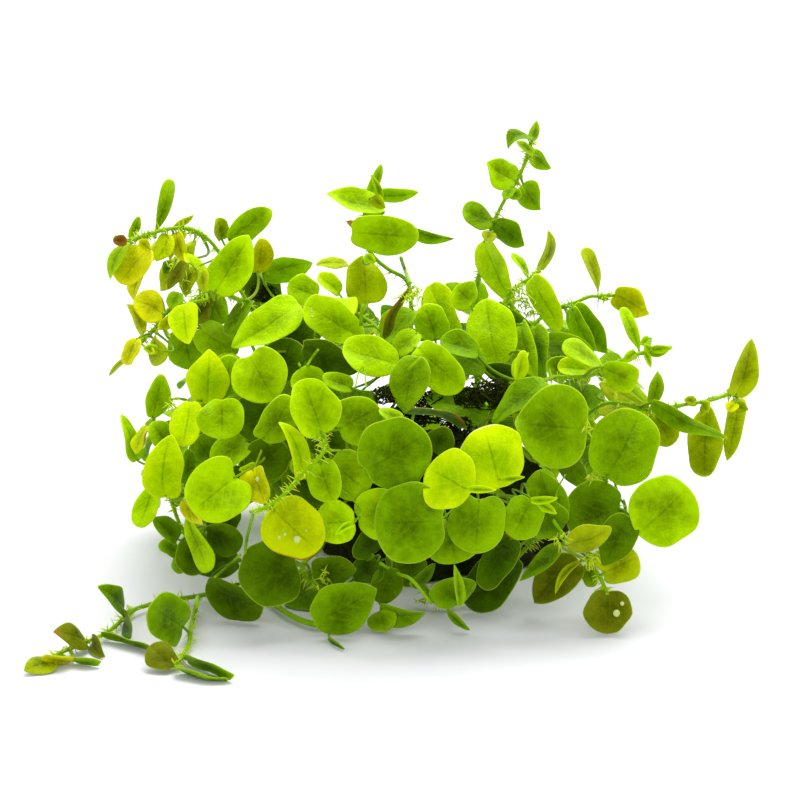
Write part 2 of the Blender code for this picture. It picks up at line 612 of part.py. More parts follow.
def settle(blades, stems):
    """Moves leaves that cross each other or a stem apart along the eye's lines, the front ones forward."""
    t, s = np.meshgrid(np.linspace(0, 1, 25), np.linspace(-1, 1, 17), indexing="ij")
    ranges = [depth_range(blade.points(t, s)) for blade in blades]
    free = [0.0 if blade.pinned else 1.0 for blade in blades]
    for stem in stems:
        ranges.append(depth_range(stem))
        free.append(0.0)
    pairs = []
    for first, (near_a, far_a) in enumerate(ranges[: len(blades)]):
        for second in range(first + 1, len(ranges)):
            near_b, far_b = ranges[second]
            both = np.isfinite(near_a) & np.isfinite(near_b)
            if free[first] + free[second] == 0.0 or both.sum() < 3:
                continue
            a_back = np.mean(near_a[both] + far_a[both]) - np.mean(near_b[both] + far_b[both])
            if a_back > 0:
                pairs.append((second, first, np.max(far_b[both] - near_a[both])))
            else:
                pairs.append((first, second, np.max(far_a[both] - near_b[both])))
    moved = np.zeros(len(ranges))
    for _ in range(SETTLE_ROUNDS):
        for front, back, reach in pairs:
            over = reach + moved[front] - moved[back] + CLEAR
            if over > 0:
                share = free[front] / (free[front] + free[back])
                moved[front] -= 0.5 * over * share
                moved[back] += 0.5 * over * (1 - share)
        moved = np.clip(moved, -MOST_SETTLE, MOST_SETTLE)
    for blade, move in zip(blades, moved):
        blade.shift(float(move))


def tangle_point(around, up, grow=0.0):
    """The root tangle's surface: a dome with lumps. around is an angle, up is -1 to 1."""
    around, up = np.broadcast_arrays(np.asarray(around, float), np.asarray(up, float))
    flat = np.sqrt(np.maximum(0.0, 1 - up * up))
    lump = np.sin(3 * around + 1.0) * flat + 0.7 * np.sin(5 * around + 4 * up) * flat**2
    size = 1 + TANGLE_LUMP * lump
    way = np.stack((flat * np.cos(around), flat * np.sin(around), up), axis=-1)
    return TANGLE_MIDDLE + way * size[..., None] * (TANGLE_HALF + grow)


def within_tangle(points, grow):
    """Which points lie inside the tangle's surface, grown by this much."""
    way = (points - TANGLE_MIDDLE) / (TANGLE_HALF + grow)
    reach = np.linalg.norm(way, axis=-1)
    around = np.arctan2(way[..., 1], way[..., 0])
    up = way[..., 2] / np.maximum(reach, 1e-9)
    edge = (tangle_point(around, up, grow) - TANGLE_MIDDLE) / (TANGLE_HALF + grow)
    return reach < np.linalg.norm(edge, axis=-1)


def outside_tangle(path):
    """The part of a stem's path past the place where it comes out of the tangle."""
    held = within_tangle(path, STEM_RADIUS + GAP)
    return path[np.flatnonzero(held)[-1] + 1 :] if held.any() else path


def loft(rings, start=None, end=None):
    """Points and faces of a body through closed rings, ended in a point or a flat cap at each end."""
    points = [point for ring in rings for point in ring]
    count = len(rings[0])
    faces = []
    for ring in range(len(rings) - 1):
        low = ring * count
        for side in range(count):
            after = (side + 1) % count
            faces.append((low + side, low + after, low + count + after, low + count + side))
    last = (len(rings) - 1) * count
    if start is None:
        faces.append(tuple(reversed(range(count))))
    else:
        points.append(start)
        faces += [((side + 1) % count, side, len(points) - 1) for side in range(count)]
    if end is None:
        faces.append(tuple(range(last, last + count)))
    else:
        points.append(end)
        faces += [(last + side, last + (side + 1) % count, len(points) - 1) for side in range(count)]
    return np.array(points), faces


def stem_body(path, radius):
    """A round stem along a path, a little thinner at its far end."""
    ways = [unit(way) for way in np.gradient(path, axis=0)]
    angles = 2 * math.pi * np.arange(STEM_SIDES) / STEM_SIDES
    side = unit(np.cross(ways[0], (0.31, 0.17, 0.93)))
    round_it = np.cos(angles)[:, None] * side + np.sin(angles)[:, None] * np.cross(ways[0], side)
    before = ways[0]
    rings = []
    for index, (point, way) in enumerate(zip(path, ways)):
        round_it = turned(round_it, before, way)
        before = way
        ring = point + radius * (1 - STEM_TAPER * index / len(path)) * round_it
        ring[:, 2] = np.maximum(ring[:, 2], LEAST_HEIGHT / 2)
        rings.append(ring)
    return loft(rings)


def blade_rings(blade):
    """A leaf's cross sections from base to tip."""
    large = blade.leaf.own
    across, thick = np.transpose(LARGE_LOOP if large else SMALL_LOOP)
    thick = thick if blade.leaf.fold >= 0 else -thick
    return [blade.points(t, across, thick) for t in (LARGE_ALONG if large else SMALL_ALONG)]


def leaf_body(blade, root):
    """A leaf with its stalk, whose own cross section stands at its root."""
    rings = blade_rings(blade)
    if np.linalg.norm(blade.base - root) > LEAST_STALK:
        along = blade.frame()[1]
        coming = unit(blade.base - root)
        stalk = rings[0] - blade.base
        rings[0] = blade.base + turned(stalk, along, unit(coming + 1.02 * along))
        rings.insert(0, root + 0.9 * turned(stalk, along, coming))
    for ring in rings[:2]:
        ring[:, 2] = np.maximum(ring[:, 2], LEAST_HEIGHT / 2)
    return loft(rings, end=blade.points(1.0, 0.0))


class Surround(NamedTuple):
    """A form that stalks keep clear of: where it is, the piece that it is of, and its surface."""

    middle: np.ndarray
    reach: float
    piece: str
    tree: BVHTree


def surround(piece, points, faces):
    middle = points.mean(axis=0)
    reach = np.linalg.norm(points - middle, axis=1).max()
    tree = BVHTree.FromPolygons([tuple(point) for point in points], faces)
    return Surround(middle, reach, piece, tree)


def piece_of(blade):
    """A name for the piece that a leaf is of: its shoot, or itself where it stands off it."""
    return f"{blade.leaf.base} {blade.leaf.tip}" if blade.leaf.own else blade.shoot


def stalk_form(blade, root):
    """A stalk a little thicker than it is, so that what it doesn't touch has a gap to it."""
    coming = unit(blade.base - root)
    across, thick = np.transpose(LARGE_LOOP)
    ring = turned(blade.points(0.0, across, thick) - blade.base, blade.frame()[1], coming)
    return surround(piece_of(blade), *loft([root + 1.7 * ring, blade.base + 1.7 * ring]))


def off_stem(blade, root, stem):
    """Where the stalk of a leaf that is a piece of its own ends: just clear of its stem."""
    line = root + np.linspace(0, 1, 60)[:, None] * (blade.base - root)
    apart = np.linalg.norm(line[:, None] - stem, axis=-1).min(axis=1)
    held = np.flatnonzero(apart < STEM_RADIUS + GAP + STALK_HALF_WIDE)
    return line[min(held[-1] + 1, len(line) - 1)]


def clear_root(blade, forms, stem, places):
    """The place on its stem that a leaf's stalk reaches soonest with the least in its way."""
    length = np.linalg.norm(places - blade.base, axis=1)
    bend = (blade.base - places) @ blade.frame()[1] / np.maximum(length, 1e-6)
    best = (math.inf, None)
    for index in np.argsort(length + BEND_COST * (1 - bend) ** 2)[:ROOT_CHOICES]:
        root = places[index]
        end = off_stem(blade, root, stem) if blade.leaf.own else root
        if np.linalg.norm(blade.base - end) <= LEAST_STALK:
            return root, end
        form = stalk_form(blade, end)
        touched = sum(
            len(form.tree.overlap(other.tree))
            for other in forms
            if other.piece != form.piece
            and np.linalg.norm(form.middle - other.middle) < form.reach + other.reach
        )
        if touched < best[0]:
            best = (touched, (root, end))
        if touched == 0:
            break
    return best[1]


def new_object(name, points, faces, material):
    """A solid of these points and faces, with its faces outward."""
    mesh = bpy.data.meshes.new(name)
    mesh.from_pydata([tuple(point) for point in points], [], faces)
    body = bmesh.new()
    body.from_mesh(mesh)
    bmesh.ops.triangulate(body, faces=body.faces)
    if body.calc_volume(signed=True) < 0:
        bmesh.ops.reverse_faces(body, faces=body.faces)
    body.to_mesh(mesh)
    body.free()
    mesh.materials.append(material)
    mesh.shade_smooth()
    mesh.set_sharp_from_angle(angle=math.radians(50))
    made = bpy.data.objects.new(name, mesh)
    bpy.context.collection.objects.link(made)
    return made


def drop_crumbs(mesh):
    """Takes out the loose bits of a few faces that joining curved forms can leave."""
    body = bmesh.new()
    body.from_mesh(mesh)
    left = set(body.faces)
    while left:
        found = {left.pop()}
        reached = set(found)
        while reached:
            beside = {face for old in reached for edge in old.edges for face in edge.link_faces}
            reached = beside & left
            left -= reached
            found |= reached
        if len(found) <= CRUMB_FACES:
            bmesh.ops.delete(body, geom=list(found), context="FACES")
    body.to_mesh(mesh)
    body.free()


def joined(whole, pieces):
    """Grows pieces onto a stem, so that they are one body with it."""
    group = bpy.data.collections.new("grown on")
    for piece in pieces:
        group.objects.link(piece)
    grow = whole.modifiers.new("grown on", "BOOLEAN")
    grow.operation = "UNION"
    grow.solver = "EXACT"
    grow.operand_type = "COLLECTION"
    grow.collection = group
    grow.material_mode = "TRANSFER"
    bpy.context.view_layer.update()
    graph = bpy.context.evaluated_depsgraph_get()
    mesh = bpy.data.meshes.new_from_object(whole.evaluated_get(graph))
    drop_crumbs(mesh)
    whole.modifiers.clear()
    whole.data = mesh
    for piece in pieces:
        bpy.data.objects.remove(piece)
    bpy.data.collections.remove(group)


def plant_material(name, colour, roughness):
    """A plant's surface: its colour, and how rough it is."""
    material = bpy.data.materials.new(name)
    material.use_nodes = True
    shader = material.node_tree.nodes["Principled BSDF"]
    shader.inputs["Base Color"].default_value = (*colour, 1.0)
    shader.inputs["Roughness"].default_value = roughness
    shader.inputs["Metallic"].default_value = 0.0
    material.diffuse_color = (*colour, 1.0)
    return material


def back_blades(taken):
    """Leaves of the far side: they face outward, set round the heap by the golden angle."""
    random = np.random.default_rng(11)
    golden = math.pi * (3 - math.sqrt(5))
    blades = []
    for name, low, high in BACK_SHOOTS:
        count = 0
        for step in range(140):
            if count == BACK_LEAVES:
                break
            around = low + (high - low) * ((step * golden / math.pi) % 1.0)
            up = 0.04 + 0.86 * ((step * 0.7548) % 1.0)
            level = math.sqrt(1 - up * up)
            out = np.array((level * math.cos(around), level * math.sin(around), up))
            centre = HEAP_MIDDLE + out * HEAP_HALF * (0.93 - 0.1 * random.random())
            centre[2] = max(centre[2], 4 * MM)
            drop = unit(np.cross(np.cross(out, (0.0, 0.0, -1.0)), out))
            side = np.cross(out, drop)
            swing = random.uniform(-1.1, 1.1)
            along = unit(drop * math.cos(swing) + side * math.sin(swing) + 0.35 * out)
            wide = BACK_WIDE * random.uniform(0.8, 1.2)
            leaf = Leaf((0, 0), (0, 0), wide, turn=random.uniform(-25, 25), tone="mid")
            half = along * wide * 0.52 * MM
            blade = Blade(leaf, centre - half, centre + half, out, name)
            cloud = blade_cloud(blade)
            if cloud[:, 2].min() < LEAST_HEIGHT or near_any(cloud, taken, 2.0 * MM):
                continue
            taken = np.vstack((taken, cloud))
            blades.append(blade)
            count += 1
    return blades


def blade_cloud(blade):
    """Points all over a leaf, about a millimetre apart."""
    t, s = np.meshgrid(np.linspace(0, 1, 15), np.linspace(-1, 1, 11), indexing="ij")
    return blade.points(t, s).reshape(-1, 3)


def near_any(cloud, others, least):
    """Whether any point of a cloud is nearer than this to any of the others."""
    close = others[np.linalg.norm(others - cloud.mean(axis=0), axis=1) < 22 * MM]
    if len(close) == 0:
        return False
    return np.linalg.norm(cloud[:, None] - close, axis=-1).min() < least


def back_route(low, high):
    """A stem that comes out of the tangle's far side and climbs inside the leaves."""
    shares = np.linspace(0, 1, 7)
    around = low + (high - low) * shares
    up = 0.08 + 0.80 * shares
    level = np.sqrt(1 - up * up)
    way = np.stack((level * np.cos(around), level * np.sin(around), up), axis=-1)
    return HEAP_MIDDLE + way * HEAP_HALF * (0.62 + 0.16 * np.sin(math.pi * shares))[:, None]


BACK_SHOOTS = (
    ("back_right", math.radians(4), math.radians(58)),
    ("back_middle", math.radians(70), math.radians(120)),
    ("back_left", math.radians(180), math.radians(128)),
)


def clear_scene():
    for thing in list(bpy.data.objects):
        bpy.data.objects.remove(thing)


def build_tangle(material):
    """The root tangle: rings of its dome from its flat foot to its top."""
    around = 2 * math.pi * np.arange(TANGLE_AROUND) / TANGLE_AROUND
    foot = -TANGLE_MIDDLE[2] / TANGLE_HALF[2]
    rings = []
    for up in np.linspace(foot, 0.93, TANGLE_UP):
        ring = tangle_point(around, up)
        ring[:, 2] = np.maximum(ring[:, 2], 0.0)
        if up == foot:
            ring[:, 2] = 0.0
        rings.append(ring)
    points, faces = loft(rings, end=tangle_point(0.0, 1.0))
    return new_object("root_tangle", points, faces, material)


def stem_paths():
    """Every stem of the front, cut where it goes into the tangle."""
    paths = {}
    for name, shoot in SHOOTS.items():
        routes = [smooth_path(route_points(shoot, route), STEM_STEP) for route in shoot.routes]
        paths[name] = [outside_tangle(routes[0])] + routes[1:]
    return paths


def rooted(blades, paths):
    """Each leaf with the place where its stalk begins: on its stem, or just clear of it."""
    stems = {name: np.vstack([line_points(path, 0.5 * MM) for path in routes])
             for name, routes in paths.items()}
    places = {name: stem[1:-1:3] for name, stem in stems.items()}
    forms = [surround(name, *stem_body(path, STEM_RADIUS + GAP))
             for name, routes in paths.items() for path in routes]
    forms += [surround(piece_of(blade), *loft(blade_rings(blade), end=blade.points(1.0, 0.0)))
              for blade in blades]
    for blade in blades:
        root, end = clear_root(blade, forms, stems[blade.shoot], places[blade.shoot])
        apart = np.linalg.norm(places[blade.shoot] - root, axis=1)
        places[blade.shoot] = places[blade.shoot][apart > MM]
        forms.append(stalk_form(blade, end))
        yield blade, end


def build_leaves(blades, paths, tones):
    """Makes the leaves. The large ones are pieces; the others are given back, shoot by shoot."""
    grown = {name: [] for name in paths}
    numbers = {name: 0 for name in paths}
    for blade, root in rooted(blades, paths):
        name = f"leaf on {blade.shoot}"
        if blade.leaf.own:
            numbers[blade.shoot] += 1
            name = f"leaf_{blade.shoot}_{numbers[blade.shoot]}"
        points, faces = leaf_body(blade, root)
        made = new_object(name, points, faces, tones[blade.leaf.tone])
        if not blade.leaf.own:
            grown[blade.shoot].append(made)
    return grown


def main():
    clear_scene()
    tones = {tone: plant_material(f"leaf {tone}", colour, 0.35) for tone, colour in TONES.items()}
    stem_green = plant_material("stem green", STEM_COLOUR, 0.45)
    build_tangle(plant_material("root brown", ROOT_COLOUR, 0.9))
    paths = stem_paths()
    blades = place_blades()
    settle(blades, [line_points(path, 0.8 * MM) for routes in paths.values() for path in routes])
    for name, low, high in BACK_SHOOTS:
        paths[name] = [outside_tangle(smooth_path(back_route(low, high), STEM_STEP))]
    stems = [line_points(path, MM) for routes in paths.values() for path in routes]
    blades += back_blades(np.vstack([blade_cloud(blade) for blade in blades] + stems))
    grown = build_leaves(blades, paths, tones)
    for name, routes in paths.items():
        pieces = [new_object(f"shoot_{name}", *stem_body(path, STEM_RADIUS), stem_green) for path in routes]
        joined(pieces[0], pieces[1:] + grown[name])


main()
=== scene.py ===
"""The looks of a picked clump of red root floater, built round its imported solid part.

Metres, +Z up. The origin is on the surface, under the middle of the heap, and -Y is the front.
Leaves and stems stand where the solid part has them: at a pixel of the front picture, 800 pixels
wide and high, and at a depth of their own. Every other size is a real one.
"""

import logging
import math
from dataclasses import dataclass
from enum import Enum
from typing import NamedTuple

import bpy
import numpy as np
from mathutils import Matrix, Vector

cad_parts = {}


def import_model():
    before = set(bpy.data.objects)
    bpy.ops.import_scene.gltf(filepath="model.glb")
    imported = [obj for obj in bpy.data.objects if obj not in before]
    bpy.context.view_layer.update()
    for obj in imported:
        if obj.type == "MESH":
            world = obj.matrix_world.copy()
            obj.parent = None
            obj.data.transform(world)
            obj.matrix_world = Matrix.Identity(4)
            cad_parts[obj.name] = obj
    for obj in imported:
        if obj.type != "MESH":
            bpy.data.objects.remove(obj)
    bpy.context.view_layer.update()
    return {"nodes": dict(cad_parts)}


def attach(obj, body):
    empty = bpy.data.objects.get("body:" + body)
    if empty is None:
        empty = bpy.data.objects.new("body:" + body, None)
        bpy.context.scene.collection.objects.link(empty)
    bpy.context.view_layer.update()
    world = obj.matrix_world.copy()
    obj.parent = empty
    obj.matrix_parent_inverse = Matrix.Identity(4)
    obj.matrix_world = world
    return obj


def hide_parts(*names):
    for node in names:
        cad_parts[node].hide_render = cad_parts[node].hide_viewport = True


LOG = logging.getLogger("clump")
MM = 0.001
FULL = 2 * math.pi

# The picture: how large a pixel is at the heap's middle, and where the eye stands.
PICTURE_WIDE = 800
PIXEL = 0.235 * MM
EYE_DISTANCE = 1.0
EYE_HEIGHT = math.radians(20.0)
MIDDLE_PIXEL = (400.0, 400.0)
ORIGIN_PIXEL = (410.0, 562.0)
RIGHT = np.array((1.0, 0.0, 0.0))
UP = np.array((0.0, math.sin(EYE_HEIGHT), math.cos(EYE_HEIGHT)))
INTO = np.array((0.0, math.cos(EYE_HEIGHT), -math.sin(EYE_HEIGHT)))
MIDDLE = PIXEL * (
    (MIDDLE_PIXEL[0] - ORIGIN_PIXEL[0]) * RIGHT + (ORIGIN_PIXEL[1] - MIDDLE_PIXEL[1]) * UP
)

# The heap's outer form, an egg that stands on the surface, and the root tangle's dome in it.
HEAP_MIDDLE = np.array((2.0, 2.0, 22.0)) * MM
HEAP_HALF = np.array((76.0, 50.0, 45.0)) * MM
TANGLE_MIDDLE = np.array((6.0, 6.0, 6.0)) * MM
TANGLE_HALF = np.array((40.0, 26.0, 34.0)) * MM
TANGLE_LUMP = 0.10
A_LITTLE_UP = np.array((0.0, 0.0, 0.01))

# Sizes that the solid part gives its leaves and stems, which fix where they stand.
STALK_HALF_WIDE = 0.45 * MM
STEM_RADIUS = 0.62 * MM
STEM_TAPER = 0.25
STEM_STEP = 9.0 * MM
GAP = 0.3 * MM
LEAST_HEIGHT = 0.40 * MM
CELL_PIXELS = 4
CELLS = 200
CLEAR = 1.2 * MM
SETTLE_ROUNDS = 150
MOST_SETTLE = 14.0 * MM
BEND_COST = 2.5 * MM
BACK_LEAVES = 6
BACK_TRIES = 140
BACK_WIDE = 14.5
BACK_RANGE = np.array((-50.0, 36.0)) * MM

# How finely the fine stems are drawn, and how far inside the tangle they begin.
FINE_STEP = 1.2 * MM
STEM_START = -6 * MM

# The numbers and the colours that a leaf's mesh keeps at its points, and those of a stem's.
BLEMISH_KINDS = ("turned", "stain", "withered")
LEAF_MARKS = ("reach", "along", "across", "stalk") + BLEMISH_KINDS
LEAF_COLOURS = ("body", "light")
STEM_MARKS = ("seed", "tipward")


@dataclass(frozen=True)
class LeafColours:
    """The colours of one kind of leaf, and the name of a record's slot, which is not used here."""

    # body is the leaf's own colour, light the paler one that the material mixes in, as painted light toward
    # the rim and in patches and as the veins' own paleness.
    body: str
    light: str
    slot: str


class Tone(Enum):
    """The colour a leaf has: its own, from young to old, and painted light and shade too, the lighter tones
    for leaves high in the light and the darker ones for leaves low and deep in the heap's shade.
    """

    LIME = LeafColours("99C300", "CBEB00", "leaf_lime")
    FRESH = LeafColours("7DA200", "B3E000", "leaf_lime")
    MID = LeafColours("6C8D00", "A1CD00", "leaf_mid")
    DULL = LeafColours("557800", "87B300", "leaf_mid")
    DEEP = LeafColours("486800", "78A500", "leaf_deep")
    DARK = LeafColours("314A00", "577A00", "leaf_deep")
    NIGHT = LeafColours("223900", "436500", "leaf_deep")
    YELLOW = LeafColours("94A700", "C2D700", "leaf_yellow")
    OLIVE = LeafColours("969D00", "D5D906", "leaf_mid")
    MOSS = LeafColours("708100", "A8BA06", "leaf_mid")
    BRONZE = LeafColours("475000", "717C0C", "leaf_deep")
    RUST = LeafColours("73470F", "A5732C", "leaf_deep")


@dataclass(frozen=True)
class Outline:
    """How a leaf's outline is drawn.

    back is how far its base reaches behind the stalk, as a share of its length, and notch how
    wide the notch for the stalk is, in radians. egg is how much wider its base half is than its
    tip half. The powers are those of the sine that narrows its two ends: 1 is round, more is
    pointed, less is blunt.
    """

    back: float
    notch: float
    egg: float
    tip_power: float
    base_power: float


class Form(Enum):
    """The outlines that the leaves have."""

    ROUND = Outline(0.06, 0.26, 0.03, 0.96, 0.92)
    HEART = Outline(0.14, 0.30, 0.07, 1.0, 0.92)
    NOTCHED = Outline(0.20, 0.36, 0.0, 0.98, 0.90)
    SHIELD = Outline(0.20, 0.0, 0.0, 0.98, 0.95)
    POINTED = Outline(0.04, 0.30, 0.16, 1.65, 0.92)
    SPOON = Outline(0.0, 0.30, -0.50, 0.80, 2.1)
    BROAD = Outline(0.0, 0.30, -0.20, 0.85, 1.1)
    TAPER = Outline(0.02, 0.30, 0.28, 1.15, 0.72)
    BEAN = Outline(0.0, 0.30, 0.0, 0.72, 0.76)


LIME, FRESH, MID, DULL, DEEP, DARK, NIGHT, YELLOW, OLIVE, MOSS, BRONZE, RUST = Tone
ROUND, HEART, NOTCHED, SHIELD, POINTED, SPOON, BROAD, TAPER, BEAN = Form


class Leaf(NamedTuple):
    """One leaf: the pixels of its base and tip, its real width, and how it lies.

    sink is how far its middle lies behind the heap's outer form or behind its stem, lean how much
    further back its tip is than its base, both in millimetres, and rise the tip's height over
    the surface, which stands for lean where it is given. turn and fold are degrees, about the
    midrib, and bow is the midrib's rise towards the eye as a share of its length. bend is how far
    the midrib curves to its right, as a share of its length too, and slim how much of the solid
    leaf's width the real one takes. own is whether the leaf is a solid of its own.
    """

    base: tuple
    tip: tuple
    wide: float
    turn: float = 0.0
    sink: float = 2.0
    tone: Tone = MID
    form: Form = ROUND
    lean: float = -2.0
    fold: float = 10.0
    bow: float = 0.06
    own: bool = False
    rise: float = -1.0
    bend: float = 0.0
    slim: float = 1.0


class Shoot(NamedTuple):
    """A stem's routes, as pixels with a depth in millimetres, and the leaves that it carries.

    On a shoot that lies, the third number is the height over the surface. On one inside the
    heap, the leaves' depths count from the heap's outer form.
    """

    routes: tuple
    leaves: tuple
    lies: bool = False
    inside: bool = False


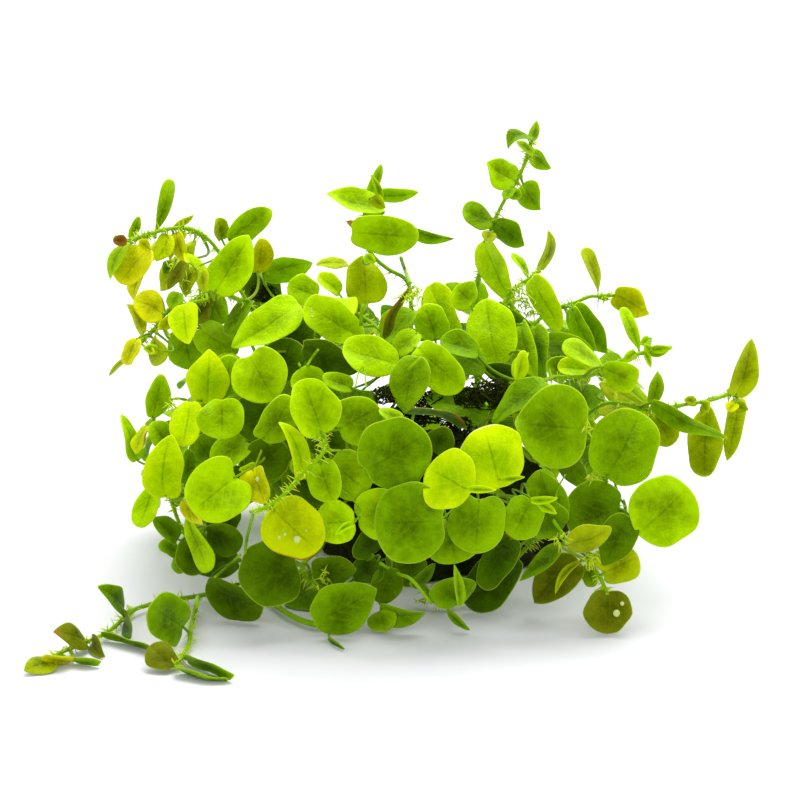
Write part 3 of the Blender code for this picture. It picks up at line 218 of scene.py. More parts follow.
SHOOTS = {
    "trail": Shoot(lies=True, routes=(
        ((236, 585, 2.6), (216, 591, 2.2), (198, 596, 1.8), (164, 601, 1.6), (145, 606, 1.6),
         (131, 612, 1.6), (108, 632, 1.6), (84, 643, 1.6), (60, 653, 1.6), (50, 660, 1.6)),
    ), leaves=(
        Leaf((54, 662), (24, 671), 7, 45, 2, MOSS, POINTED, rise=1.2, slim=0.8),
        Leaf((73, 660), (43, 658), 6, -50, 2, OLIVE, BEAN, rise=3),
        Leaf((74, 661), (101, 662), 5, 50, 2, DULL, POINTED, rise=1.5),
        Leaf((86, 642), (54, 632), 6, 45, 2, BRONZE, POINTED, rise=7),
        Leaf((125, 611), (99, 586), 7, 50, 2, DEEP, POINTED, rise=13),
        Leaf((128, 615), (132, 638), 5, 50, 2, DARK, POINTED, rise=3),
        Leaf((101, 634), (155, 656), 8, 60, 2, DULL, POINTED, bow=-0.12, rise=1.5, slim=0.55, bend=0.1),
    )),
    "trail_fork": Shoot(lies=True, routes=(
        ((196, 607, 1.6), (191, 626, 1.6), (189, 643, 1.6), (182, 657, 1.6), (175, 665, 1.6)),
    ), leaves=(
        Leaf((173, 667), (149, 647), 7, 30, 2, BRONZE, rise=4.5),
        Leaf((187, 660), (236, 674), 9, 45, 2, DULL, POINTED, fold=25, rise=2),
        Leaf((185, 628), (146, 606), 12, 20, -1, DEEP, own=True, rise=12),
    )),
    "upper_left": Shoot(routes=(
        ((345, 432, 0), (285, 360, -2), (246, 300, -6), (226, 264, -6), (210, 241, -6), (190, 229, -6),
         (168, 229, -7), (150, 234, -8), (130, 240, -9), (114, 239, -9)),
    ), leaves=(
        Leaf((155, 233), (171, 179), 8, 45, 0, MID, SPOON, bow=0.1, slim=0.6, bend=-0.06),
        Leaf((130, 238), (138, 216), 4, 50, 0, MID, BEAN, slim=0.8),
        Leaf((131, 241), (111, 281), 5, 50, -1, MID, POINTED, bend=0.16),
        Leaf((149, 250), (120, 284), 9, 35, -2, OLIVE),
        Leaf((144, 262), (134, 301), 6, 50, 1, OLIVE, POINTED),
        Leaf((165, 236), (154, 262), 5, 50, 2, OLIVE, POINTED),
        Leaf((174, 228), (194, 214), 3.5, 50, 0, OLIVE, POINTED, slim=0.7),
        Leaf((186, 232), (170, 262), 5, 50, 2, MOSS, POINTED, slim=0.8),
        Leaf((194, 240), (182, 268), 5, 40, 0, YELLOW, BEAN),
        Leaf((184, 258), (161, 292), 7, 40, 3, MOSS, POINTED),
    )),
    "left": Shoot(routes=(
        ((330, 445, -8), (292, 385, -14), (276, 338, -17), (262, 316, -20), (235, 298, -20),
         (212, 291, -19), (190, 303, -17), (168, 311, -15), (158, 325, -14), (140, 343, -13)),
    ), leaves=(
        Leaf((163, 314), (134, 300), 8, 30, 0, OLIVE),
        Leaf((143, 334), (127, 304), 5, 55, 2, OLIVE, POINTED),
        Leaf((137, 338), (127, 365), 6, 40, -1, OLIVE, BEAN),
        Leaf((129, 357), (109, 377), 4, 55, 1, MOSS, POINTED, slim=0.6),
        Leaf((155, 333), (160, 365), 6, 50, -2, MOSS, SPOON),
        Leaf((163, 330), (171, 311), 5, 50, -2, OLIVE, POINTED),
        Leaf((184, 304), (189, 344), 8, 30, -3, LIME, TAPER, own=True),
        Leaf((207, 292), (183, 253), 7, 50, 3, LIME, POINTED, lean=2, slim=0.9),
        Leaf((210, 300), (196, 325), 6, 35, 0, BRONZE),
        Leaf((212, 296), (225, 323), 8, 35, 1),
        Leaf((250, 300), (228, 336), 7, 50, 0, DEEP),
        Leaf((215, 292), (249, 235), 11.5, 15, -3, FRESH, POINTED, lean=3, own=True),
        Leaf((228, 240), (272, 210), 9, 40, 5, MID, POINTED, lean=2, own=True, bend=-0.08),
        Leaf((222, 240), (218, 218), 5, 40, 8, MOSS),
        Leaf((257, 272), (262, 238), 6, 40, 6, OLIVE),
        Leaf((200, 328), (238, 353), 8.5, 20, 0, MID, HEART, own=True),
    )),
    "foot_left": Shoot(inside=True, routes=(
        ((310, 475, -12), (255, 462, -20), (215, 445, -24), (188, 425, -24), (170, 440, -22),
         (168, 480, -24), (180, 525, -24), (205, 560, -22)),
    ), leaves=(
        Leaf((152, 418), (160, 374), 6, 40, -1, FRESH, BEAN),
        Leaf((137, 461), (121, 414), 6, 45, 2, FRESH, POINTED, bow=0.15, bend=-0.1),
        Leaf((146, 426), (136, 455), 5, 45, 0, YELLOW, POINTED, slim=0.9),
        Leaf((168, 446), (151, 423), 6, 20),
        Leaf((165, 498), (172, 435), 10.5, 12, -1, LIME, POINTED, own=True, bend=-0.1),
        Leaf((156, 484), (140, 528), 6.5, 25, 1, FRESH, BROAD),
        Leaf((186, 483), (188, 449), 5, 40, 6, DEEP),
        Leaf((186, 509), (210, 572), 6.5, 35, 2, FRESH, SPOON, slim=0.9),
        Leaf((182, 500), (204, 525), 5, 40, 2, OLIVE, POINTED),
        Leaf((178, 540), (152, 518), 6, 40, 4, DEEP, POINTED),
        Leaf((207, 532), (244, 540), 9, 35, 6, DARK),
        Leaf((180, 553), (158, 546), 5, 45, 2, DULL),
        Leaf((180, 553), (182, 574), 5, 30, 4, DEEP),
        Leaf((238, 562), (190, 565), 9, 35, 8, DARK),
        Leaf((191, 402), (184, 447), 8, 15, 1, LIME, own=True),
        Leaf((207, 404), (209, 349), 9.8, 8, 0, LIME, POINTED, own=True),
        Leaf((220, 401), (232, 355), 8, 10, 4),
        Leaf((222, 400), (222, 440), 10.6, 0, 1, own=True),
        Leaf((246, 441), (212, 464), 8.5, 15, 4, MID, HEART),
        Leaf((236, 476), (192, 512), 15.5, 0, -1, FRESH, NOTCHED, lean=-3, own=True),
        Leaf((252, 469), (267, 504), 8, 30, 3, OLIVE, POINTED),
        Leaf((240, 471), (256, 463), 4, 50, 3, LIME, BEAN, slim=0.7),
    )),
    "front": Shoot(inside=True, routes=(
        ((350, 445, -15), (334, 418, -38), (323, 433, -52), (325, 447, -57), (319, 458, -58),
         (300, 476, -58), (290, 488, -58), (278, 500, -58), (262, 509, -57), (250, 512, -56)),
    ), leaves=(
        Leaf((300, 481), (278, 422), 6, 35, -5, LIME, TAPER, bow=0.12, slim=0.82, bend=0.1),
        Leaf((262, 440), (291, 397), 10, 25, 5),
        Leaf((322, 434), (303, 379), 12, 10, 0, FRESH, own=True),
        Leaf((338, 430), (379, 405), 13, 10, 4, own=True),
        Leaf((325, 386), (290, 383), 8, 20, 7, FRESH),
        Leaf((402, 421), (378, 412), 5, 40, 3),
        Leaf((320, 463), (333, 502), 8.2, 15, 0, MID, HEART, own=True),
        Leaf((332, 460), (368, 492), 11.5, 10, 4),
        Leaf((366, 470), (427, 433), 15.5, 10, 0, DEEP, own=True),
        Leaf((272, 508), (319, 551), 13.5, 5, -5, YELLOW, own=True),
        Leaf((354, 521), (315, 524), 10, 0, 0, FRESH),
        Leaf((358, 518), (402, 508), 12, 10, 3, own=True),
        Leaf((443, 521), (374, 523), 17.5, 0, -2, DEEP, lean=1, own=True),
        Leaf((240, 460), (285, 470), 9, 20, 13, DEEP),
    )),
    "crown": Shoot(inside=True, routes=(
        ((352, 430, -8), (338, 392, -14), (318, 360, -18), (312, 332, -18), (330, 312, -14),
         (360, 316, -16), (388, 338, -24), (408, 366, -32)),
    ), leaves=(
        Leaf((299, 304), (231, 347), 10.5, 30, -2, FRESH, POINTED, own=True, bend=-0.06),
        Leaf((250, 356), (275, 400), 12.2, 5, 1, FRESH, HEART, own=True),
        Leaf((352, 388), (322, 377), 5, 30, 6),
        Leaf((303, 346), (361, 368), 9, 42, 5, DARK),
        Leaf((260, 273), (313, 264), 8, 45, 5, FRESH, POINTED, bend=-0.1),
        Leaf((318, 296), (287, 286), 8.5, 20, 5, FRESH),
        Leaf((340, 294), (318, 275), 5, 40, 4, LIME, BEAN),
        Leaf((348, 264), (316, 265), 4.5, 50, 6, YELLOW, POINTED),
        Leaf((366, 304), (363, 255), 12, 10, 6, YELLOW, POINTED, lean=2, own=True),
        Leaf((364, 338), (306, 302), 10.5, 12, -1, FRESH, BROAD, own=True, bend=-0.05),
        Leaf((398, 364), (343, 346), 9.5, 25, -2, FRESH, BEAN, own=True, bend=-0.06),
        Leaf((416, 356), (405, 414), 8, 20, 3, DULL, POINTED),
        Leaf((418, 346), (463, 389), 10.5, 22, 0, FRESH, BEAN, own=True),
        Leaf((384, 338), (408, 287), 6.5, 50, 1, BRONZE, POINTED, slim=0.6, bend=-0.12),
        Leaf((412, 310), (385, 345), 8, 40, 6, DULL),
        Leaf((417, 332), (395, 357), 6, 30, 6),
    )),
    "top_middle": Shoot(routes=(
        ((405, 425, -4), (410, 370, -8), (411, 320, -4), (408, 283, -2), (388, 269, -2), (375, 258, -2),
         (366, 244, -2), (364, 222, -2), (367, 200, -2), (372, 182, -2)),
    ), leaves=(
        Leaf((368, 196), (381, 164), 4, 45, 0, FRESH, BEAN, slim=0.8),
        Leaf((384, 209), (326, 193), 8, 45, -3, FRESH, POINTED, bend=-0.1),
        Leaf((372, 195), (419, 192), 5, 45, 1, FRESH, POINTED, slim=0.9),
        Leaf((376, 201), (349, 201), 5, 45, 4, OLIVE, POINTED),
        Leaf((352, 232), (419, 236), 10, 15, -3, FRESH, own=True),
        Leaf((408, 229), (454, 239), 5.5, 50, 3, MID, POINTED, slim=0.8),
        Leaf((362, 230), (346, 221), 4, 40, 0, RUST, POINTED, slim=0.6),
    )),
    "top_right": Shoot(routes=(
        ((478, 425, -6), (476, 350, 0), (477, 300, 3), (480, 270, 4), (489, 237, 4), (494, 222, 4),
         (503, 203, 4), (518, 178, 4), (526, 160, 4), (531, 142, 4)),
    ), leaves=(
        Leaf((531, 142), (536, 120), 3, 40, 0, MID, POINTED),
        Leaf((531, 138), (508, 150), 5, 45, 0, DEEP, POINTED, bow=0.3, slim=0.8, bend=0.22),
        Leaf((534, 154), (515, 141), 4, 45, -1, MID, POINTED, slim=0.8),
        Leaf((532, 152), (551, 169), 4.5, 40, 0, MID, POINTED),
        Leaf((516, 181), (487, 162), 8, 30, -1, MID, POINTED, bend=-0.08),
        Leaf((523, 184), (540, 210), 7, 35, 1, MID, POINTED),
        Leaf((493, 223), (463, 208), 7, 40, -1, DULL, BEAN, bend=-0.08),
        Leaf((494, 223), (524, 246), 7.5, 38, -1, DULL, POINTED, bend=-0.08),
        Leaf((483, 240), (515, 304), 8.5, 42, -3, LIME, TAPER, lean=-4),
        Leaf((476, 306), (468, 283), 8, 10, 3, FRESH),
        Leaf((431, 284), (457, 340), 9.2, 25, -14, LIME, BEAN, lean=-5, own=True),
        Leaf((436, 340), (424, 304), 7.5, 10, -18, FRESH),
    )),
    "right_upper": Shoot(routes=(
        ((515, 430, -8), (520, 375, -10), (532, 330, -8), (549, 312, -6), (572, 304, -6), (592, 296, -6),
         (607, 299, -6)),
        ((532, 330, -8), (508, 297, -4), (530, 279, -6), (540, 270, -6)),
        ((600, 297, -6), (613, 295, -6)),
    ), leaves=(
        Leaf((528, 276), (511, 254), 4.5, 50, 0, FRESH, BEAN, slim=0.8),
        Leaf((540, 270), (548, 230), 5.5, 50, 0, MOSS, POINTED, slim=0.8, bend=0.12),
        Leaf((531, 278), (562, 331), 8.5, 42, -3, LIME, TAPER, lean=-4, bend=-0.06),
        Leaf((573, 306), (607, 354), 8, 35, -1, MID, POINTED, bend=-0.06),
        Leaf((572, 308), (596, 352), 6, 50, -4, MID, POINTED),
        Leaf((599, 296), (583, 248), 5, 50, 0, MOSS, SPOON, slim=0.9),
        Leaf((613, 295), (649, 315), 7.5, 35, 0, OLIVE, POINTED, bend=-0.12),
        Leaf((485, 299), (499, 366), 11.8, 12, -22, FRESH, BROAD, lean=-6, own=True),
        Leaf((497, 305), (546, 346), 8, 55, -12, DEEP, POINTED),
        Leaf((521, 322), (537, 379), 7, 40, -22, MID, POINTED, lean=-6),
        Leaf((536, 326), (546, 377), 7, 45, -16, DULL, POINTED, lean=-6),
        Leaf((526, 352), (519, 381), 4.5, 45, -30, FRESH, BEAN),
    )),
    "right_middle": Shoot(routes=(
        ((540, 430, -12), (538, 392, -30), (548, 379, -38), (570, 377, -38), (590, 376, -36),
         (603, 368, -34), (622, 360, -32), (638, 354, -32), (649, 351, -32)),
    ), leaves=(
        Leaf((602, 367), (638, 381), 8, 20, -2, MID, BROAD),
        Leaf((602, 366), (562, 345), 7, 50, -1, FRESH, BEAN),
        Leaf((592, 370), (557, 368), 6.5, 25, 3, LIME),
        Leaf((640, 352), (620, 308), 5.5, 35, 0, FRESH, SPOON, slim=0.7),
        Leaf((646, 353), (673, 346), 3.5, 45, 0, MID, POINTED, slim=0.8),
        Leaf((566, 378), (548, 361), 6, 20, 5, DULL),
        Leaf((478, 353), (440, 341), 7, 35, 0, DEEP),
        Leaf((485, 368), (452, 352), 8, 30, 2, DEEP),
        Leaf((484, 368), (516, 372), 6, 40, 4, DARK),
        Leaf((488, 417), (424, 398), 11, 30, -8, DEEP, POINTED, own=True),
        Leaf((545, 381), (492, 425), 8, 40, -9, DEEP, POINTED),
        Leaf((466, 427), (404, 413), 7, 70, -18, NIGHT, BEAN, bow=0.1),
    )),
    "right_far": Shoot(routes=(
        ((565, 440, -12), (596, 408, -26), (620, 403, -28), (650, 410, -28), (688, 404, -26),
         (712, 400, -24), (730, 394, -22), (738, 397, -22)),
    ), leaves=(
        Leaf((652, 404), (657, 370), 7, 35, 0, MID, POINTED, slim=0.6),
        Leaf((652, 402), (728, 438), 8, 45, -3, DULL, POINTED, lean=-2, own=True, slim=0.66),
        Leaf((648, 406), (612, 380), 6, 50, -1, MID, POINTED, slim=0.6),
        Leaf((648, 409), (598, 384), 9, 35, 2, MOSS, POINTED),
        Leaf((650, 411), (597, 412), 6, 50, 2, MOSS),
        Leaf((655, 412), (673, 445), 8, 25, 2, MOSS),
        Leaf((708, 405), (705, 477), 8.5, 25, 2, MOSS, BROAD),
        Leaf((736, 397), (752, 338), 7.5, 25, -1, MOSS, POINTED, slim=0.9),
        Leaf((740, 398), (727, 461), 7, 35, 0, MOSS, POINTED, slim=0.8, bend=-0.05),
    )),
    "right_low": Shoot(routes=(
        ((560, 450, -16), (586, 432, -32), (596, 458, -34), (604, 476, -35), (608, 492, -35),
         (618, 510, -33), (606, 545, -34), (592, 562, -38), (600, 577, -40), (608, 595, -41)),
        ((618, 510, -33), (636, 520, -38), (645, 528, -40)),
    ), leaves=(
        Leaf((587, 429), (514, 423), 21, 0, -19, DULL, POINTED, lean=-1, own=True),
        Leaf((607, 478), (641, 412), 16.6, 5, -3, DULL, lean=1, own=True),
        Leaf((645, 528), (688, 487), 16.5, 5, -2, MID, SHIELD, lean=1, own=True),
        Leaf((621, 508), (567, 526), 16.5, 10, -2, DEEP, HEART, own=True),
        Leaf((603, 573), (638, 556), 9.5, 15, 2, MOSS, HEART),
        Leaf((566, 546), (612, 529), 8, 40, -8, MOSS, POINTED, bend=-0.05),
        Leaf((608, 591), (607, 634), 11.2, 0, -1, BRONZE, rise=0.5),
        Leaf((579, 561), (534, 603), 10.5, 12, 0, BRONZE, POINTED, fold=15, rise=3, slim=0.9, bend=0.05),
        Leaf((590, 563), (594, 587), 5, 40, 3, DULL),
        Leaf((560, 545), (519, 581), 7.5, 40, 2, DEEP, POINTED, slim=0.6, bend=-0.12),
    )),
    "foot_middle": Shoot(inside=True, routes=(
        ((345, 500, -14), (322, 545, -24), (302, 566, -33), (316, 584, -36), (338, 593, -38)),
    ), leaves=(
        Leaf((297, 566), (240, 584), 15.5, 10, -1, DARK, own=True),
        Leaf((206, 583), (263, 612), 9.5, 35, 1, DARK, BEAN, own=True, rise=3),
        Leaf((314, 622), (377, 589), 11.5, 15, -2, DEEP, POINTED, own=True, rise=11),
        Leaf((328, 637), (345, 649), 4, 45, 2, DEEP, POINTED, rise=0.8, slim=0.6),
        Leaf((312, 570), (357, 568), 8.5, 20, 5, DARK, POINTED),
        Leaf((378, 561), (355, 582), 8, 20, 7, NIGHT, POINTED),
        Leaf((372, 555), (362, 532), 8, 20, 8, NIGHT, POINTED),
    )),
    "foot_right": Shoot(inside=True, routes=(
        ((430, 520, -16), (420, 556, -24), (424, 592, -27), (450, 604, -28), (482, 585, -24),
         (515, 560, -22), (535, 535, -25), (536, 514, -30)),
    ), leaves=(
        Leaf((464, 488), (428, 468), 14.2, 5, -4, LIME, SHIELD, own=True),
        Leaf((500, 488), (484, 427), 15, 5, -1, LIME, BEAN, own=True),
        Leaf((479, 499), (476, 554), 12.8, 5, -1, DULL, HEART, own=True),
        Leaf((531, 500), (512, 538), 10.2, 0, -1, DULL, own=True),
        Leaf((447, 518), (456, 563), 12, 10, 4, DULL, BROAD),
        Leaf((512, 538), (483, 589), 9, 15, 4, NIGHT),
        Leaf((518, 558), (466, 606), 11, 20, 6, NIGHT, own=True, rise=1.5),
        Leaf((457, 606), (449, 579), 11, 10, 4, DEEP, fold=-22),
        Leaf((460, 607), (453, 564), 4, 45, -1, DULL, POINTED, slim=0.8),
        Leaf((380, 609), (425, 615), 7.5, 48, 2, DEEP, POINTED, rise=5),
        Leaf((380, 611), (386, 632), 6.5, 20, 0, DULL, POINTED, rise=0.8),
        Leaf((448, 611), (470, 630), 4, 45, 0, DEEP, POINTED, rise=0.8, slim=0.6),
        Leaf((414, 588), (434, 562), 6, 40, 3, DARK, POINTED, slim=0.7),
        Leaf((425, 572), (385, 560), 9, 35, 14, DARK),
        Leaf((545, 538), (548, 500), 8.5, 25, 6, DEEP),
        Leaf((541, 497), (541, 470), 8, 20, 6, DULL),
        Leaf((433, 451), (446, 427), 7, 20, 5, DARK),
    )),
}

# The shoots of the far side: the angles round the heap between which each one stands.
BACK_SHOOTS = {
    "back_right": (math.radians(4), math.radians(58)),
    "back_middle": (math.radians(70), math.radians(120)),
    "back_left": (math.radians(180), math.radians(128)),
}


def spot(pixel: tuple, depth: float) -> np.ndarray:
    """The point that shows at this pixel, this many metres behind the heap's middle."""
    spread = PIXEL * (1.0 + depth / EYE_DISTANCE)
    across = pixel[0] - MIDDLE_PIXEL[0]
    above = MIDDLE_PIXEL[1] - pixel[1]
    return MIDDLE + depth * INTO + spread * (across * RIGHT + above * UP)


def seen(points: np.ndarray) -> tuple:
    """The pixels and the depths of points: spot, the other way round."""
    away = points - MIDDLE
    depth = away @ INTO
    spread = PIXEL * (1.0 + depth / EYE_DISTANCE)
    return MIDDLE_PIXEL[0] + away @ RIGHT / spread, MIDDLE_PIXEL[1] - away @ UP / spread, depth


def surface_depth(pixel: tuple, height: float) -> float:
    """How deep the point at this pixel lies whose height over the surface is given."""
    start = spot(pixel, 0.0)
    step = spot(pixel, 1.0) - start
    return (height - start[2]) / step[2]


def clear_spot(pixel: tuple, depth: float) -> np.ndarray:
    """The point at this pixel and depth, or nearer the eye where that would be too low."""
    return spot(pixel, min(depth, surface_depth(pixel, 2 * LEAST_HEIGHT)))


def heap_depth(pixel: tuple) -> float:
    """How deep the heap's outer form lies at this pixel, or its edge past its outline.

    Args:
        pixel: where it is seen.

    Returns:
        The depth of the near one of the two points where the eye's line meets the egg.
    """
    start = (spot(pixel, 0.0) - HEAP_MIDDLE) / HEAP_HALF
    step = (spot(pixel, 1.0) - spot(pixel, 0.0)) / HEAP_HALF
    square = step @ step
    cross = start @ step
    inner = max(0.0, cross * cross - square * (start @ start - 1.0))
    return (-cross - math.sqrt(inner)) / square


def route_points(shoot: Shoot, route: tuple) -> np.ndarray:
    """A stem's route as points in space.

    Args:
        shoot: the shoot that it belongs to.
        route: its pixels, each with a third number.

    Returns:
        The points.
    """
    points = []
    for across, down, third in route:
        pixel = (across, down)
        depth = surface_depth(pixel, third * MM) if shoot.lies else third * MM
        points.append(spot(pixel, depth))
    return np.array(points)


def smooth_path(points: np.ndarray, step: float) -> np.ndarray:
    """The same route as a smooth curve through its points: a cubic between each two.

    Args:
        points: the route.
        step: about how far apart the curve's points are.

    Returns:
        The curve's points.
    """
    before = np.vstack((2 * points[0] - points[1], points[:-1]))
    after = np.vstack((points[1:], 2 * points[-1] - points[-2]))
    slope = (after - before) / 2
    path = [points[:1]]
    for start, end, leave, arrive in zip(points[:-1], points[1:], slope[:-1], slope[1:]):
        count = max(1, round(float(np.linalg.norm(end - start)) / step))
        t = (np.arange(1, count + 1) / count)[:, None]
        path.append(
            (2 * t**3 - 3 * t**2 + 1) * start + (t**3 - 2 * t**2 + t) * leave
            + (3 * t**2 - 2 * t**3) * end + (t**3 - t**2) * arrive
        )
    return np.vstack(path)


def line_points(path: np.ndarray, step: float) -> np.ndarray:
    """Points about every step along the straight pieces between a path's points."""
    pieces = np.linalg.norm(np.diff(path, axis=0), axis=1)
    lengths = np.concatenate(([0.0], np.cumsum(pieces)))
    places = np.linspace(0.0, lengths[-1], max(2, round(lengths[-1] / step) + 1))
    return np.stack([np.interp(places, lengths, path[:, axis]) for axis in range(3)], axis=1)


def unit(vector: np.ndarray) -> np.ndarray:
    """Vectors of the same direction, one metre long."""
    return vector / np.maximum(np.linalg.norm(vector, axis=-1, keepdims=True), 1e-12)


def leaf_grid(along: int, across: int) -> tuple:
    """A grid over a leaf: t from its base to its tip, and s from one rim to the other."""
    return np.meshgrid(np.linspace(0, 1, along), np.linspace(-1, 1, across), indexing="ij")


@dataclass
class Blade:
    """Where a leaf stands: its base, its tip and the way it faces, as the solid part has them."""

    leaf: Leaf
    base: np.ndarray
    tip: np.ndarray
    face: np.ndarray
    shoot: str

    def shift(self, depth: float) -> None:
        """Moves the blade back along the eye's lines through its base and tip."""
        for end in ("base", "tip"):
            across, down, now = seen(getattr(self, end))
            setattr(self, end, clear_spot((across, down), now + depth))

    def frame(self) -> tuple:
        """How the blade lies.

        Returns:
            Its length, and the directions along it, out of it and across it.
        """
        length = np.linalg.norm(self.tip - self.base)
        along = (self.tip - self.base) / length
        flat = unit(self.face - (self.face @ along) * along)
        side = np.cross(along, flat)
        turn = math.radians(self.leaf.turn)
        normal = flat * math.cos(turn) + side * math.sin(turn)
        return length, along, normal, np.cross(along, normal)

    def points(self, t: np.ndarray, s: np.ndarray) -> np.ndarray:
        """The solid blade's points: half the width times sqrt(4t(1-t)), with a fold and a bow.

        Args:
            t: the place along the blade, from 0 at the base to 1 at the tip.
            s: the place across it, from -1 to 1.

        Returns:
            The points, as many as t and s.
        """
        length, along, normal, side = self.frame()
        half = self.leaf.wide * MM / 2 * np.sqrt(4 * t * (1 - t)) * (1.08 - 0.16 * t)
        half = np.maximum(half, STALK_HALF_WIDE * (1 - t))
        fold = math.radians(self.leaf.fold)
        out = s * half * math.cos(fold)
        lift = np.abs(s) * half * math.sin(fold) + self.leaf.bow * length * 4 * t * (1 - t)
        run = t * length - 0.10 * length * s * s * np.sin(math.pi * np.minimum(1.0, 2 * t)) * (1 - t)
        spots = self.base + run[..., None] * along + out[..., None] * side + lift[..., None] * normal
        spots[..., 2] = np.maximum(spots[..., 2], LEAST_HEIGHT)
        return spots

    def cloud(self) -> np.ndarray:
        """Points all over the leaf, about a millimetre apart."""
        return self.points(*leaf_grid(15, 11)).reshape(-1, 3)


def place_blades() -> list:
    """Every leaf of the front, where the picture shows it and at its own depth.

    Returns:
        Their blades.
    """
    blades = []
    for name, shoot in SHOOTS.items():
        stem = np.vstack([smooth_path(route_points(shoot, route), 2 * MM) for route in shoot.routes])
        stem_across, stem_down, stem_depth = seen(stem)
        for leaf in shoot.leaves:
            middle = tuple(np.add(leaf.base, leaf.tip) / 2)
            near = np.argmin(np.hypot(stem_across - leaf.base[0], stem_down - leaf.base[1]))
            depth = (heap_depth(middle) if shoot.inside else stem_depth[near]) + leaf.sink * MM
            base_depth = depth - leaf.lean * MM / 2
            tip_depth = depth + leaf.lean * MM / 2
            if shoot.lies:
                base_depth = stem_depth[near] + (leaf.sink - 2.0) * MM
            if leaf.rise >= 0.0:
                tip_depth = surface_depth(leaf.tip, leaf.rise * MM)
                base_depth = base_depth if shoot.lies else max(base_depth, tip_depth - 4 * MM)
            base, tip = clear_spot(leaf.base, base_depth), clear_spot(leaf.tip, tip_depth)
            blades.append(Blade(leaf, base, tip, -INTO, name))
    return blades


def cells_seen(points: np.ndarray, edge: int = 0) -> tuple:
    """The rows and columns of the picture's cells that points show in, and their depths.

    Args:
        points: the points.
        edge: how many rows and columns at the picture's edges are left out.

    Returns:
        The rows, the columns and the depths.
    """
    across, down, depth = (values.ravel() for values in seen(points))
    column = np.clip((across / CELL_PIXELS).astype(int), edge, CELLS - 1 - edge)
    row = np.clip((down / CELL_PIXELS).astype(int), edge, CELLS - 1 - edge)
    return row, column, depth


def depth_range(points: np.ndarray) -> tuple:
    """How near and how far points lie in the picture.

    Args:
        points: the points.

    Returns:
        The nearest and the furthest depth in each cell that they show in or next to.
    """
    row, column, depth = cells_seen(points, 1)
    near = np.full((CELLS, CELLS), np.inf)
    far = np.full((CELLS, CELLS), -np.inf)
    for move_row in (-1, 0, 1):
        for move_column in (-1, 0, 1):
            np.minimum.at(near, (row + move_row, column + move_column), depth)
            np.maximum.at(far, (row + move_row, column + move_column), depth)
    return near, far


def settle(blades: list, stems: list) -> None:
    """Moves leaves that cross each other or a stem apart along the eye's lines.

    The one that stands further forward where two meet moves forward, and the other back. Leaves
    with a rise and stems stay.

    Args:
        blades: the leaves' blades, which it moves.
        stems: the stems' points.
    """
    ranges = [depth_range(blade.points(*leaf_grid(25, 17))) for blade in blades]
    ranges += [depth_range(stem) for stem in stems]
    free = [0.0 if blade.leaf.rise >= 0.0 else 1.0 for blade in blades] + [0.0] * len(stems)
    pairs = []
    for first, (near_a, far_a) in enumerate(ranges[: len(blades)]):
        for second in range(first + 1, len(ranges)):
            near_b, far_b = ranges[second]
            both = np.isfinite(near_a) & np.isfinite(near_b)
            if free[first] + free[second] == 0.0 or both.sum() < 3:
                continue
            a_back = np.mean(near_a[both] + far_a[both]) - np.mean(near_b[both] + far_b[both])
            if a_back > 0:
                pairs.append((second, first, np.max(far_b[both] - near_a[both])))
            else:
                pairs.append((first, second, np.max(far_a[both] - near_b[both])))
    moved = np.zeros(len(ranges))
    for _ in range(SETTLE_ROUNDS):
        for front, back, reach in pairs:
            over = reach + moved[front] - moved[back] + CLEAR
            if over > 0:
                share = free[front] / (free[front] + free[back])
                moved[front] -= 0.5 * over * share
                moved[back] += 0.5 * over * (1 - share)
        moved = np.clip(moved, -MOST_SETTLE, MOST_SETTLE)
    for blade, move in zip(blades, moved):
        blade.shift(float(move))


def tangle_edge(around: np.ndarray, up: np.ndarray) -> np.ndarray:
    """How far the tangle's lumpy dome reaches, as a share of its half sizes: 1 and two waves."""
    flat = np.sqrt(np.maximum(0.0, 1 - up * up))
    lump = np.sin(3 * around + 1.0) * flat + 0.7 * np.sin(5 * around + 4 * up) * flat**2
    return 1 + TANGLE_LUMP * lump


def within_tangle(points: np.ndarray, grow: float) -> np.ndarray:
    """Which points lie inside the tangle's surface, grown by this much."""
    way = (points - TANGLE_MIDDLE) / (TANGLE_HALF + grow)
    reach = np.linalg.norm(way, axis=-1)
    around = np.arctan2(way[..., 1], way[..., 0])
    return reach < tangle_edge(around, way[..., 2] / np.maximum(reach, 1e-9))


def outside_tangle(path: np.ndarray, grow: float) -> np.ndarray:
    """The part of a stem's path past the place where it comes out of the tangle."""
    held = within_tangle(path, grow)
    return path[np.flatnonzero(held)[-1] + 1 :] if held.any() else path


def near_any(cloud: np.ndarray, others: np.ndarray, least: float) -> bool:
    """Whether any point of a cloud is nearer than this to any of the others."""
    close = others[np.linalg.norm(others - cloud.mean(axis=0), axis=1) < 22 * MM]
    if len(close) == 0:
        return False
    return bool(np.linalg.norm(cloud[:, None] - close, axis=-1).min() < least)


